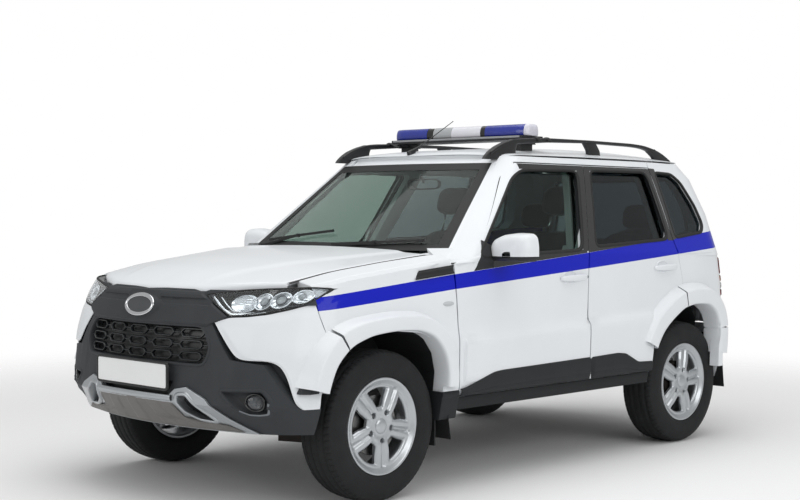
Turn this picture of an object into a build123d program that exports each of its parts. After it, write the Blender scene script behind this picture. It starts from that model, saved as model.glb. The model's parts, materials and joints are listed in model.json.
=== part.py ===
"""A compact five-door off-road police car with a roof light bar, as an assembly of separate pieces.

Units are millimetres.  X points to the car's left, Y to its rear, Z up.  Everything is laid out
from the front axle line (y = 0) and the ground (z = 0); the last step shifts all pieces along Y
so that the origin is at the middle of the car's overall length.
"""
from build123d import *
import os
from math import atan2, cos, degrees, hypot, pi, radians, sin

os.makedirs("parts", exist_ok=True)

# ---------------------------------------------------------------- driving dimensions
LENGTH = 4099.0            # overall, with the spare wheel
FRONT_OVERHANG = 772.0
WHEELBASE = 2450.0
FRONT_TRACK = 1466.0
REAR_TRACK = 1456.0
TYRE_RADIUS = 343.0
TYRE_WIDTH = 215.0
RIM_RADIUS = 222.0         # outside of the rim's lip
RIM_WIDTH = 188.0          # over the lips
FLARE_HALF_WIDTH = 902.0   # over the wheel-arch flares
SHUT_GAP = 7.0             # between a moving panel and its neighbour
GLASS = 5.0                # thickness of glass
SEAT = 0.3                 # clearance of a piece against its seat
DOOR_INNER_X = 738.0       # inner face of the doors
FRAME_WALL = 42.0          # thickness of window frames and of the upper body wall
PILLAR_GAP = 12.0         # between a closed door and the pillar behind it
PILLAR_WALL = 40.0         # thickness of the pillars behind the doors
SKIN = 26.0                # thickness of wings and bumpers

REAR_AXLE_Y = WHEELBASE
REAR_END = LENGTH - FRONT_OVERHANG


# ---------------------------------------------------------------- small helpers
def box(x0, x1, y0, y1, z0, z1):
    """An upright block between two corners."""
    return Pos((x0 + x1) / 2, (y0 + y1) / 2, (z0 + z1) / 2) * Box(x1 - x0, y1 - y0, z1 - z0)


def outline(points, radii=0.0):
    """A closed face from 2-D points, with one corner radius for all or one for each."""
    if isinstance(radii, (int, float)):
        radii = [radii] * len(points)
    if not any(radii):
        return make_face(Polyline(*points, close=True))
    return make_face(FilletPolyline(*points, radius=radii, close=True))


SIDE = Plane(origin=(0, 0, 0), x_dir=(0, 1, 0), z_dir=(1, 0, 0))     # local (y, z), extrudes along +X
FRONT = Plane(origin=(0, 0, 0), x_dir=(1, 0, 0), z_dir=(0, -1, 0))   # local (x, z), extrudes along -Y


def side_prism(points, x0, x1, radii=0.0):
    """A prism whose outline is given as (y, z), between two x."""
    return Pos(x0, 0, 0) * extrude(SIDE * outline(points, radii), x1 - x0)


def front_prism(points, y0, y1, radii=0.0):
    """A prism whose outline is given as (x, z), between two y."""
    return Pos(0, y1, 0) * extrude(FRONT * outline(points, radii), y1 - y0)


def plan_prism(points, z0, z1, radii=0.0):
    """A prism whose outline is given as (x, y), between two z."""
    return Pos(0, 0, z0) * extrude(outline(points, radii), z1 - z0)


def cylinder_x(x0, x1, y, z, r):
    return Pos((x0 + x1) / 2, y, z) * Rot(0, 90, 0) * Cylinder(r, x1 - x0)


def cylinder_y(y0, y1, x, z, r):
    return Pos(x, (y0 + y1) / 2, z) * Rot(90, 0, 0) * Cylinder(r, y1 - y0)


def cylinder_z(z0, z1, x, y, r):
    return Pos(x, y, (z0 + z1) / 2) * Cylinder(r, z1 - z0)


def rod(a, b, r):
    """A round bar from point a to point b."""
    a, b = Vector(*a), Vector(*b)
    plane = Plane(origin=a, z_dir=b - a)
    return plane * Pos(0, 0, (b - a).length / 2) * Cylinder(r, (b - a).length)


def bent_tube(points, bend, r):
    """A round tube along straight runs with rounded corners."""
    path = FilletPolyline(*points, radius=bend)
    start = Plane(origin=path @ 0, z_dir=path % 0)
    return sweep(start * Circle(r), path=path)


def twin(shape):
    """The right-hand copy of a left-hand piece."""
    return mirror(shape, about=Plane.YZ)


def both(shape):
    """A left-hand piece and its right-hand copy in one node."""
    return Compound(children=[*solids_of(shape), *solids_of(twin(shape))])


def biggest(shape):
    """The largest solid of a shape whose cuts leave small chips."""
    return max(shape.solids(), key=lambda solid: solid.volume)


def solids_of(shape):
    return list(shape.solids())


def grown(points, d):
    """The outline moved outwards by d (inwards if d is negative), corner by corner."""
    n = len(points)
    area = sum(points[i][0] * points[(i + 1) % n][1] - points[(i + 1) % n][0] * points[i][1] for i in range(n))
    turn = 1.0 if area > 0 else -1.0
    moved = []
    for i in range(n):
        (ax, ay), (bx, by), (cx, cy) = points[i - 1], points[i], points[(i + 1) % n]
        ux, uy = bx - ax, by - ay
        vx, vy = cx - bx, cy - by
        lu, lv = hypot(ux, uy), hypot(vx, vy)
        nu, nv = (uy / lu * turn, -ux / lu * turn), (vy / lv * turn, -vx / lv * turn)
        k = d / (1 + nu[0] * nv[0] + nu[1] * nv[1])
        moved.append((bx + (nu[0] + nv[0]) * k, by + (nu[1] + nv[1]) * k))
    return moved


# ---------------------------------------------------------------- the body's skin, level by level
# Each level is a horizontal outline of the lower body.  Columns, in mm:
#   z, nose: y at the middle of the front, (front corner x, y), (side start x, y), side: widest x,
#   (side end x, y), (rear corner x, y), tail: y at the middle of the rear
LOWER_LEVELS = [
    (345, -665, (500, -590), (836, -330), 842, (830, 2740), (600, 2950), 2990),
    (470, -762, (585, -672), (860, -372), 866, (848, 2780), (620, 2990), 3015),
    (715, -748, (600, -640), (860, -335), 868, (848, 2790), (610, 2995), 3020),
    (757, -742, (595, -632), (850, -328), 857, (838, 2790), (608, 2995), 3020),
    (900, -706, (585, -590), (836, -300), 850, (832, 2785), (600, 2993), 3020),
    (1080, -600, (560, -470), (800, -235), 834, (815, 2770), (575, 2985), 3015),
]
FRONT_CORNER_BULGE = 0.13
REAR_CORNER_BULGE = 0.16
SIDE_MIDDLE_Y = 1100.0

# Each level of the glasshouse.  Columns, in mm:
#   z, screen: y at the middle, (screen edge x, y), (side start x, y), (side end x, y), (rear corner x, y), tail
UPPER_LEVELS = [
    (1060, 360, (741, 500), (841, 584), (822, 2770), (578, 2988), 3020),
    (1300, 645, (652, 780), (744, 862), (733, 2760), (520, 2975), 3003),
    (1500, 905, (578, 1015), (664, 1100), (655, 2700), (470, 2905), 2930),
    (1590, 1022, (545, 1121), (618, 1196), (612, 2640), (440, 2800), 2825),
]


def bulge_arc(p, q, share):
    """An arc from p to q that stands out to the right of the way from p to q by a share of the chord."""
    dx, dy = q[0] - p[0], q[1] - p[1]
    middle = ((p[0] + q[0]) / 2 + dy * share, (p[1] + q[1]) / 2 - dx * share)
    return ThreePointArc(p, middle, q)


def lower_outline(level, inset):
    """The closed outline of one level of the lower body, moved inwards by inset."""
    z, nose, fc, ss, side, se, rc, tail = level
    i = inset
    p1, p2 = (fc[0] - i * 0.5, fc[1] + i), (ss[0] - i, ss[1] + i * 0.5)
    p3, p4 = (se[0] - i, se[1] - i * 0.5), (rc[0] - i * 0.5, rc[1] - i)
    m = [(-x, y) for x, y in (p1, p2, p3, p4)]
    edges = [
        ThreePointArc(m[0], (0, nose + i), p1),
        bulge_arc(p1, p2, FRONT_CORNER_BULGE),
        ThreePointArc(p2, (side - i, SIDE_MIDDLE_Y), p3),
        bulge_arc(p3, p4, REAR_CORNER_BULGE),
        ThreePointArc(p4, (0, tail - i), m[3]),
        bulge_arc(m[3], m[2], REAR_CORNER_BULGE),
        ThreePointArc(m[2], (-side + i, SIDE_MIDDLE_Y), m[1]),
        bulge_arc(m[1], m[0], FRONT_CORNER_BULGE),
    ]
    return Pos(0, 0, z) * make_face(Wire(edges))


def upper_outline(level, inset):
    """The closed outline of one level of the glasshouse, moved inwards by inset."""
    z, screen, sc, ss, se, rc, tail = level
    i = inset
    p0, p1 = (sc[0] - i * 0.35, sc[1] + i), (ss[0] - i, ss[1] + i * 0.45)
    p2, p3 = (se[0] - i, se[1] - i * 0.5), (rc[0] - i * 0.5, rc[1] - i)
    m = [(-x, y) for x, y in (p0, p1, p2, p3)]
    edges = [
        ThreePointArc(m[0], (0, screen + i), p0),
        Line(p0, p1),
        Line(p1, p2),
        bulge_arc(p2, p3, REAR_CORNER_BULGE),
        ThreePointArc(p3, (0, tail - i), m[3]),
        bulge_arc(m[3], m[2], REAR_CORNER_BULGE),
        Line(m[2], m[1]),
        Line(m[1], m[0]),
    ]
    return Pos(0, 0, z) * make_face(Wire(edges))


def lower_body(inset=0.0):
    return loft([lower_outline(level, inset) for level in LOWER_LEVELS], ruled=True)


NOSE_TOP_LEVEL = (1200, -500, (530, -350), (775, -130), 822, (800, 2760), (560, 2970), 3005)


def nose_body(inset=0.0):
    """The lower body carried up to the top of the bonnet."""
    return loft([lower_outline(level, inset) for level in LOWER_LEVELS + [NOSE_TOP_LEVEL]], ruled=True)


def upper_body(inset=0.0):
    return loft([upper_outline(level, inset) for level in UPPER_LEVELS], ruled=True)



def skin_x(z):
    """Half the body's width at height z, half way along the doors."""
    rows = [(level[0], level[4]) for level in LOWER_LEVELS]
    rows += [(level[0], (level[3][0] + level[4][0]) / 2) for level in UPPER_LEVELS[1:]]
    for (z0, x0), (z1, x1) in zip(rows, rows[1:]):
        if z <= z1:
            return x0 + (x1 - x0) * (z - z0) / (z1 - z0)
    return rows[-1][1]


# ---------------------------------------------------------------- shut lines, seen from the side (y, z)
DOOR_BOTTOM_Z = 444.0
DOOR_TOP_Z = 1556.0
WING_END_Y = 463.5
DOOR_START_Y = WING_END_Y + SHUT_GAP
BELT_Z = 1058.0
# free edge of the front door, from the bottom up
FRONT_DOOR_EDGE = [(1468, DOOR_BOTTOM_Z), (1475, 700), (1490, 900), (1518, 1101), (1614, 1331), (1708, DOOR_TOP_Z)]
# free edge of the rear door, from the bottom up
REAR_DOOR_EDGE = [(2402, DOOR_BOTTOM_Z), (2402, 860), (2400, 925), (2368, 1071), (2352, 1165), (2352, 1400), (2336, DOOR_TOP_Z)]
# front and top of the front door, from its bottom front corner to the top of its free edge
FRONT_DOOR_FRONT = [(DOOR_START_Y, DOOR_BOTTOM_Z), (DOOR_START_Y, BELT_Z), (606, BELT_Z + 6), (1046, 1494), (1150, DOOR_TOP_Z)]
PAST_EDGE = 90.0           # how far a door's prism runs past its free edge before that edge is turned
FRONT_HINGE = (862.0, DOOR_START_Y + 22.0)
REAR_HINGE = (862.0, FRONT_DOOR_EDGE[0][0] + SHUT_GAP + 26.0)
SEAL_LAND = 36.0           # how much smaller a body opening is than its door, all round

FRONT_ARCH = [(-395, 300), (-402, 520), (-350, 645), (-262, 722), (-130, 762), (20, 774), (180, 768), (278, 732),
              (345, 650), (368, 560), (356, 455), (350, 300)]
REAR_ARCH = [(2048, 300), (2050, 480), (2076, 575), (2140, 655), (2216, 708), (2340, 772), (2460, 790), (2600, 784),
             (2672, 742), (2706, 680), (2712, 600), (2694, 530), (2690, 300)]
ARCH_CORNER = 30.0
FLARE_WIDTH = 74.0         # of the raised band round an arch
FLARE_RISE = 30.0          # over the panel, at its widest


def reach(hinge, edge, grow=0.0):
    """Everything that is nearer to a door's upright hinge than its free edge, as a solid of revolution."""
    hx, hy = hinge
    radii = [(hypot(y - hy, skin_x(z) - hx) + grow, z) for y, z in edge]
    low, high = edge[0][1] - PAST_EDGE, edge[-1][1] + PAST_EDGE
    profile = [(0, low), (radii[0][0], low), *radii, (radii[-1][0], high), (0, high)]
    face = Plane.XZ * make_face(Polyline(*profile, close=True))
    return Pos(hx, hy, 0) * revolve(face, Axis.Z)


def front_door_outline(grow=0.0):
    ring = FRONT_DOOR_FRONT + [(FRONT_DOOR_EDGE[-1][0] + PAST_EDGE, DOOR_TOP_Z),
                               (FRONT_DOOR_EDGE[-1][0] + PAST_EDGE, DOOR_BOTTOM_Z)]
    return grown(ring[::-1], grow) if grow else ring


def rear_door_outline(grow=0.0):
    ring = [(FRONT_DOOR_EDGE[0][0] - PAST_EDGE, DOOR_BOTTOM_Z), (FRONT_DOOR_EDGE[0][0] - PAST_EDGE, DOOR_TOP_Z),
            (REAR_DOOR_EDGE[-1][0] + PAST_EDGE, DOOR_TOP_Z), (REAR_DOOR_EDGE[-1][0] + PAST_EDGE, DOOR_BOTTOM_Z)]
    return grown(ring[::-1], grow) if grow else ring


WIDE = 960.0               # beyond the body on either side

front_door_space = side_prism(front_door_outline(), 450, WIDE) & reach(FRONT_HINGE, FRONT_DOOR_EDGE)
rear_door_space = (side_prism(rear_door_outline(), 450, WIDE) & reach(REAR_HINGE, REAR_DOOR_EDGE)
                   ) - reach(FRONT_HINGE, FRONT_DOOR_EDGE, SHUT_GAP)
front_door_cut = side_prism(front_door_outline(SHUT_GAP), 450, WIDE) & reach(FRONT_HINGE, FRONT_DOOR_EDGE, SHUT_GAP + 1)
rear_door_cut = (side_prism(rear_door_outline(SHUT_GAP), 450, WIDE) & reach(REAR_HINGE, REAR_DOOR_EDGE, SHUT_GAP)
                 ) - reach(FRONT_HINGE, FRONT_DOOR_EDGE, -SHUT_GAP)

# body openings behind the doors
FRONT_OPENING = grown([(DOOR_START_Y + 24, DOOR_BOTTOM_Z + 24), (1466, DOOR_BOTTOM_Z + 24), (1482, 900), (1510, 1101),
                       (1604, 1331), (1690, DOOR_TOP_Z), (1156, DOOR_TOP_Z), (1052, 1494), (612, BELT_Z + 6),
                       (DOOR_START_Y + 24, BELT_Z - 60)], -SEAL_LAND)
REAR_OPENING = grown([(1484, DOOR_BOTTOM_Z + 24), (1990, DOOR_BOTTOM_Z + 24), (2060, 640), (2210, 790), (2398, 850),
                      (2398, 925), (2368, 1071), (2350, 1165), (2350, 1400), (2334, DOOR_TOP_Z), (1722, DOOR_TOP_Z),
                      (1630, 1331), (1534, 1101), (1506, 900)], -SEAL_LAND)

# windows, cut straight through the doors
FRONT_WINDOW = [(656, 1092), (1474, 1112), (1560, 1320), (1640, 1524), (1178, 1518), (1086, 1478)]
REAR_WINDOW = [(1600, 1128), (2306, 1160), (2310, 1390), (2290, 1530), (1758, 1528), (1684, 1330)]
QUARTER_WINDOW = [(2392, 1168), (2690, 1196), (2726, 1240), (2700, 1350), (2628, 1480), (2560, 1526), (2392, 1532)]

WINDOW_CORNER = 24.0

# windscreen opening, seen from the front (x, z)
SCREEN_LOW_Z = 1114.0
SCREEN_TOP_Z = 1556.0


def screen_outline(z_low, z_top, margin):
    def edge(z):
        (za, _, a, *_), (zb, _, b, *_) = UPPER_LEVELS[0], UPPER_LEVELS[2]
        return a[0] + (b[0] - a[0]) * (z - za) / (zb - za) - margin
    return [(-edge(z_low), z_low), (edge(z_low), z_low), (edge(z_top), z_top), (-edge(z_top), z_top)]


# tailgate outline, seen from behind (x, z), and its hinge on the car's right
TAILGATE = [(-600, 652), (600, 652), (600, 1062), (512, 1500), (500, 1548), (-500, 1548), (-512, 1500), (-600, 1062)]
TAILGATE_WINDOW = [(-520, 1130), (520, 1130), (462, 1440), (446, 1500), (-446, 1500), (-462, 1440)]
TAILGATE_HINGE = (-612.0, 3022.0)
TAILGATE_WALL = 45.0

# ---------------------------------------------------------------- body lofts used by many pieces
LOWER = lower_body()
UPPER = upper_body()
UPPER_FRAME = upper_body(FRAME_WALL)
UPPER_PILLAR_OUT = upper_body(FRAME_WALL + PILLAR_GAP)
UPPER_PILLAR_IN = upper_body(FRAME_WALL + PILLAR_GAP + PILLAR_WALL)
upper_frames = UPPER - UPPER_FRAME
front_arch_cut = side_prism(FRONT_ARCH, 430, WIDE, ARCH_CORNER)
rear_arch_cut = side_prism(REAR_ARCH, 600, WIDE, ARCH_CORNER)


def flare(arch, trim):
    """The raised band round a wheel arch, with a sloping outer face; trim keeps the wanted part."""
    n = len(arch)
    wide = grown(arch[::-1], FLARE_WIDTH)
    narrow = grown(arch[::-1], FLARE_WIDTH * 0.62)
    base = side_prism(wide, 800, FLARE_HALF_WIDTH - FLARE_RISE, ARCH_CORNER)
    crown = loft([Pos(FLARE_HALF_WIDTH - FLARE_RISE, 0, 0) * (SIDE * outline(wide, ARCH_CORNER)),
                  Pos(FLARE_HALF_WIDTH, 0, 0) * (SIDE * outline(narrow, ARCH_CORNER))], ruled=True)
    return ((base + crown) & trim) - side_prism(arch, 700, WIDE, ARCH_CORNER)


# ---------------------------------------------------------------- bonnet and wing tops
# Columns, in mm: y, middle z, (bonnet line x, z), z at the side of the wing
DECK_STATIONS = [
    (-800, 880, (600, 855), 800),
    (-665, 958, (640, 930), 880),
    (-560, 1008, (660, 968), 915),
    (-435, 1042, (676, 992), 950),
    (-200, 1076, (692, 1036), 986),
    (100, 1101, (708, 1072), 1016),
    (400, 1124, (740, 1106), 1040),
    (620, 1138, (765, 1122), 1050),
]
DECK_SIDE_X = 880.0
BONNET_WALL = 24.0


def deck(drop=0.0):
    """The space under the bonnet's and wings' top surface, lowered by drop."""
    faces = []
    for y, mid, (x, z), side in DECK_STATIONS:
        edges = [
            Line((-DECK_SIDE_X, 300), (DECK_SIDE_X, 300)),
            Line((DECK_SIDE_X, 300), (DECK_SIDE_X, side - drop)),
            Line((DECK_SIDE_X, side - drop), (x, z - drop)),
            ThreePointArc((x, z - drop), (0, mid - drop), (-x, z - drop)),
            Line((-x, z - drop), (-DECK_SIDE_X, side - drop)),
            Line((-DECK_SIDE_X, side - drop), (-DECK_SIDE_X, 300)),
        ]
        faces.append(Pos(0, y, 0) * (FRONT * make_face(Wire(edges))))
    return loft(faces, ruled=True)


BONNET_REAR_Y = 374.0
BONNET_PLAN = [(0, -664), (345, -628), (505, -552), (672, -438), (690, -200), (706, 100), (738, BONNET_REAR_Y)]
bonnet_plan = BONNET_PLAN[1:] + [(-x, y) for x, y in BONNET_PLAN[:0:-1]] + [(0, BONNET_PLAN[0][1])]
BONNET_HINGE = (BONNET_REAR_Y + 8.0, 1092.0)     # (y, z)
BONNET_LUG = (700.0, 730.0)                      # x from, x to
LUG_RADIUS = 7.5
HINGE_PIN = 4.0            # radius of the hinge pins
# the wings' inner edge: the bonnet's outline, carried on to the scuttle
wing_inner_plan = [*BONNET_PLAN[1:-1], (738, 382), (747, 480)]
wing_inner_plan = wing_inner_plan + [(-x, y) for x, y in wing_inner_plan[::-1]] + [(0, BONNET_PLAN[0][1])]

DECK = deck()
NOSE = nose_body()
front_skin = (NOSE & DECK) - (nose_body(SKIN) & deck(SKIN))
front_skin = front_skin & box(-WIDE, WIDE, -900, WING_END_Y, 300, 1300)
bonnet_cut = plan_prism(grown(wing_inner_plan, SHUT_GAP), 900, 1300)

# lamp and colour-break outlines on the nose, seen from the front (x, z), left-hand side
HEADLAMP = [(396, 946), (600, 968), (780, 978), (822, 970), (780, 905), (620, 870), (454, 838)]
WHITE_CORNER = [(440, 820), (452, 834), (620, 866), (782, 901), (960, 901), (960, 462), (812, 462), (700, 652), (556, 668)]
GRILLE_OPENING = [(-400, 800), (400, 800), (452, 715), (424, 640), (-424, 640), (-452, 715)]
WING_FRONT = [(-384, 905), (-380, 860), (-362, 790), (-285, 690)]   # wing and bumper shut line (y, z)


def nose_zone(points, margin=0.0, y1=-270):
    """A fore-and-aft prism over an outline of the nose, on the left."""
    return front_prism(grown(points, margin) if margin else points, -900, y1)


def make_bonnet():
    slab = (DECK - deck(BONNET_WALL)) & NOSE & plan_prism(bonnet_plan, 880, 1300)
    y, z = BONNET_HINGE
    x0, x1 = BONNET_LUG
    lug = cylinder_x(x0, x1, y, z, LUG_RADIUS) + box(x0, x1, y - 18, y, z - 7, z + 7)
    return (slab + lug + twin(lug)) - cylinder_x(-x1 - 5, x1 + 5, y, z, HINGE_PIN + SEAT)


wing_zone = side_prism([(-250, 300), (WING_END_Y, 300), (WING_END_Y, 1300), (-395, 1300)] + WING_FRONT, 300, WIDE)
wing_zone_grown = side_prism([(-250, 300), (WING_END_Y, 300), (WING_END_Y, 1300), (-395.5, 1300)]
                             + [(y - 0.5, z) for y, z in WING_FRONT], 300, WIDE)


def make_wing():
    skin = front_skin & wing_zone
    skin = skin + flare(FRONT_ARCH, box(700, WIDE, -390, WING_END_Y - 20, 470, 1000) & wing_zone)
    skin = skin - front_arch_cut - bonnet_cut - nose_zone(HEADLAMP, SEAT)
    skin = biggest(skin & box(560, WIDE, -900, 900, 300, 1300))
    return skin + cylinder_x(BONNET_LUG[0] + 2, 752, *BONNET_HINGE, HINGE_PIN)


def make_bumper_corner():
    skin = front_skin & nose_zone(WHITE_CORNER, 0, -150)
    skin = skin + (flare(FRONT_ARCH, box(700, WIDE, -520, -100, 530, 1000)) & nose_zone(WHITE_CORNER, 0, -150))
    return skin - wing_zone_grown - front_arch_cut


FOG_PLACE = (630.0, 486.0)
FOG_OPENING = [(522, 532), (700, 540), (728, 500), (716, 440), (640, 432), (590, 462)]
SKID = [(-640, 346), (640, 346), (540, 412), (452, 496), (350, 540), (285, 528), (236, 486), (-236, 486), (-285, 528),
        (-350, 540), (-452, 496), (-540, 412)]
SKID_EYE = [(300, 500), (350, 505), (440, 418), (462, 394), (380, 400), (318, 430), (296, 470)]
INTAKE = [(-230, 494), (230, 494), (262, 560), (-262, 560)]


def make_front_bumper():
    skin = front_skin & box(-WIDE, WIDE, -900, -200, 300, 960)
    skin = skin - bonnet_cut - front_prism(GRILLE_OPENING, -900, -300) - front_prism(INTAKE, -900, -300)
    for zone in (nose_zone(HEADLAMP, SEAT), nose_zone(WHITE_CORNER, SEAT, -150), wing_zone_grown, front_arch_cut,
                 nose_zone(FOG_OPENING), nose_zone(SKID_EYE)):
        skin = skin - zone - twin(zone)
    stay = box(262, 294, -745, -600 - SEAT, 420, 470) & LOWER
    return biggest(skin) + stay + twin(stay)


def make_skid_plate():
    plate = (lower_body(-12) - lower_body(-SEAT)) & front_prism(SKID, -900, -420)
    eye = nose_zone(SKID_EYE)
    return plate - eye - twin(eye)


GRILLE_ROWS = [(770, 0.0), (721, 0.5), (672, 0.0)]   # z, shift in pitches
GRILLE_PITCH = 138.0
SLOT = (104.0, 26.0)


def make_grille():
    plate = (lower_body(SKIN - 8) - lower_body(SKIN + 10)) & front_prism(grown(GRILLE_OPENING, -SEAT), -900, -300)
    for z, shift in GRILLE_ROWS:
        for k in range(-3, 4):
            x = (k + shift) * GRILLE_PITCH
            if abs(x) + SLOT[0] / 2 < 432:
                w, h = SLOT[0] / 2, SLOT[1] / 2
                hole = [(x - w, z), (x - w * 0.8, z - h), (x + w * 0.8, z - h), (x + w, z), (x + w * 0.8, z + h), (x - w * 0.8, z + h)]
                plate = plate - front_prism(hole, -900, -300)
    return plate


def make_headlamp():
    lens = LOWER - lower_body(60)
    return (lens & DECK & nose_zone(HEADLAMP)) - bonnet_cut


def make_fog_lamp():
    x, z = FOG_PLACE
    back = (lower_body(SKIN + SEAT) - lower_body(SKIN + 12)) & nose_zone(grown(FOG_OPENING, 12))
    return back + (cylinder_y(-640, -540, x, z, 40) & lower_body(14))


# ---------------------------------------------------------------- doors
def lower_slab(y0, y1):
    return LOWER & box(DOOR_INNER_X, WIDE, y0, y1, DOOR_BOTTOM_Z - 60, 1080)


DOOR_HINGES = [(FRONT_HINGE, (520, 820)), (REAR_HINGE, (520, 750))]    # hinge line, z of its two hinges
HINGE_LEAF = 5.0           # thickness
HINGE_HEIGHT = 40.0
HINGE_ROOM = 6.0           # above, below and behind a leaf


def hinge_leaves():
    """Leaves and pins on the body for the left doors."""
    leaves = []
    for (x, y), levels in DOOR_HINGES:
        for z in levels:
            leaves.append(box(FRAME_FACE_X - 5, x, y - HINGE_LEAF / 2, y + HINGE_LEAF / 2, z, z + HINGE_HEIGHT)
                          + cylinder_z(z - HINGE_ROOM + SEAT, z + HINGE_HEIGHT + HINGE_ROOM - SEAT, x, y, HINGE_PIN))
    return leaves


def hinge_pockets(hinge, levels):
    """Room in a door for the leaves of its hinges."""
    x, y = hinge
    room = None
    for z in levels:
        low, high = z - HINGE_ROOM, z + HINGE_HEIGHT + HINGE_ROOM
        pocket = box(DOOR_INNER_X - 20, x + 1, y - 60, y + 12, low, high) + cylinder_z(low, high, x, y, HINGE_PIN + SEAT)
        room = pocket if room is None else room + pocket
    return room


def handle(y, z):
    """A pull handle on a door's skin."""
    x = skin_x(z)
    cup = Pos(x - 4, y - 35, z) * Rot(0, 90, 0) * Cylinder(34, 16)
    grip = box(x - 2, x + 26, y - 75, y + 110, z - 14, z + 14) - box(x - 8, x + 12, y - 45, y + 62, z - 20, z + 20)
    return cup + grip


HANDLE_FRONT = (1372.0, 985.0)
HANDLE_REAR = (2226.0, 1018.0)
CLADDING_FRONT = [(DOOR_START_Y, DOOR_BOTTOM_Z), (DOOR_START_Y, 473), (690, 536), (760, 542), (1600, 556), (1600, DOOR_BOTTOM_Z)]
CLADDING_REAR = [(1420, DOOR_BOTTOM_Z), (1420, 552), (1720, 561), (1800, 552), (1918, 500), (2080, 494), (2080, DOOR_BOTTOM_Z)]
CLADDING_RISE = 9.0


def cladding(points):
    return (lower_body(-CLADDING_RISE) & side_prism(points, 800, WIDE)) - box(0, DOOR_INNER_X + 60, 0, 3000, 300, 600)


def make_door(space, window, handle_place, clad):
    upper = upper_frames & box(450, WIDE, 300, 2500, BELT_Z - 2, 1700)
    shell = lower_slab(300, 2500) + (upper - box(450, DOOR_INNER_X, 300, 620, BELT_Z - 5, BELT_Z + 20))
    door = shell & space
    door = door + (cladding(clad) & space)
    door = door - side_prism(window, 450, WIDE, WINDOW_CORNER)
    return door + handle(*handle_place)


def make_front_door():
    return make_door(front_door_space, FRONT_WINDOW, HANDLE_FRONT, CLADDING_FRONT) - hinge_pockets(*DOOR_HINGES[0])


def make_rear_door():
    door = make_door(rear_door_space, REAR_WINDOW, HANDLE_REAR, CLADDING_REAR)
    door = door + (flare(REAR_ARCH, box(760, WIDE, 1900, 2500, 560, 1100)) & rear_door_space)
    return door - rear_arch_cut - hinge_pockets(*DOOR_HINGES[1])


def make_window_glass(window):
    """A curved pane that fills its window, a seat's clearance short of the frame."""
    pane = upper_body(14) - upper_body(14 + GLASS)
    return pane & side_prism(grown(window, -SEAT), 450, WIDE, WINDOW_CORNER - SEAT)


# ---------------------------------------------------------------- fixed body
ROOF_SEAT_Z = UPPER_LEVELS[-1][0]
LINK_LOW_Z = 1088.0        # the pillars' upper halves join their lower halves above the doors' thick part
LINK_TOP_Z = 1130.0
SILL_BOTTOM_Z = 376.0
INNER_SIDE_X = 690.0
FRAME_FACE_X = DOOR_INNER_X - PILLAR_GAP


def make_side_frame():
    """Left body side: sill, pillars, cantrail and rear quarter with its flare, as one welded pressing."""
    doors = front_door_cut + rear_door_cut
    lower = LOWER & box(INNER_SIDE_X, WIDE, WING_END_Y + SEAT, 2500, SILL_BOTTOM_Z, 1080)
    lower = lower - (doors & box(FRAME_FACE_X, WIDE, 0, 3000, 300, 1080))
    quarter = (LOWER - lower_body(FRAME_WALL)) & box(0, WIDE, 2380, 3100, 652, 1080)
    quarter = quarter - doors
    upper = (UPPER - UPPER_PILLAR_IN) & box(0, WIDE, 300, 3100, 1060, 1700)
    upper = upper - (doors - UPPER_PILLAR_OUT) - (doors & box(0, WIDE, 0, 3000, 1000, LINK_LOW_Z))
    side = lower + quarter + upper
    for y0, y1 in ((WING_END_Y + 4, 640), (1450, 1640), (2300, 2440)):
        side = side + box(INNER_SIDE_X, FRAME_FACE_X, y0, y1, 1000, LINK_TOP_Z)
        side = side + (box(INNER_SIDE_X, WIDE, y0, y1, LINK_LOW_Z, LINK_TOP_Z) & UPPER_PILLAR_OUT)
    side = side - side_prism(FRONT_OPENING, 400, WIDE, 20) - side_prism(REAR_OPENING, 400, WIDE, 20)
    side = side - side_prism(QUARTER_WINDOW, 400, WIDE, WINDOW_CORNER)
    side = side - front_prism(screen_outline(SCREEN_LOW_Z - 8, SCREEN_TOP_Z, 14), 200, 1180)
    side = side - tailgate_space(SHUT_GAP)
    side = side + (flare(REAR_ARCH, box(780, WIDE, 2400, 2800, 652, 1100)) - doors)
    side = side - rear_arch_cut - tail_lamp_zone(SEAT) - rear_tyre_room
    side = side - side_prism(grown(REAR_ARCH, 12), 590, FRAME_FACE_X + 1, ARCH_CORNER + 12)
    side = side - box(0, INNER_SIDE_X - 1, 300, 900, 1000, SCREEN_LOW_Z)
    side = side & box(0.3, WIDE, 300, 3100, 300, ROOF_SEAT_Z)
    side = side - box(0, 470, 900, 1200, 1500, 1700) - box(0, 400, 2700, 3100, 1500, 1700)
    side = biggest(side)
    for leaf in hinge_leaves():
        side = side + leaf
    return side


# tailgate hinges: z of each
GATE_HINGES = (745.0, 1100.0)
GATE_KNUCKLE = 11.0
GATE_PIN = 5.0


def gate_hinges_body():
    """Pins, outer knuckles and leaves on the rear corner."""
    x, y = TAILGATE_HINGE
    shape = None
    for z in GATE_HINGES:
        piece = cylinder_z(z - 45, z + 45, x, y, GATE_PIN)
        for z0, z1 in ((z - 45, z - 20 - SEAT), (z + 20 + SEAT, z + 45)):
            piece = piece + cylinder_z(z0, z1, x, y, GATE_KNUCKLE) + box(x - 50, x, 2940, y + 5, z0, z1)
        shape = piece if shape is None else shape + piece
    return shape


def gate_hinges_gate(gate):
    """The gate with its middle knuckles and leaves."""
    x, y = TAILGATE_HINGE
    for z in GATE_HINGES:
        gate = gate + (cylinder_z(z - 20, z + 20, x, y, GATE_KNUCKLE) + box(x, -586, y - 8, y + 6, z - 20, z + 20)
                       + box(-588, x + 64, 2962, y + 6, z - 20, z + 20)) - cylinder_z(z - 50, z + 50, x, y, GATE_PIN + SEAT)
    return gate


rear_tyre_room = cylinder_x(590, REAR_TRACK / 2 + TYRE_WIDTH / 2 + 8, REAR_AXLE_Y, TYRE_RADIUS, TYRE_RADIUS + 16)


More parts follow.
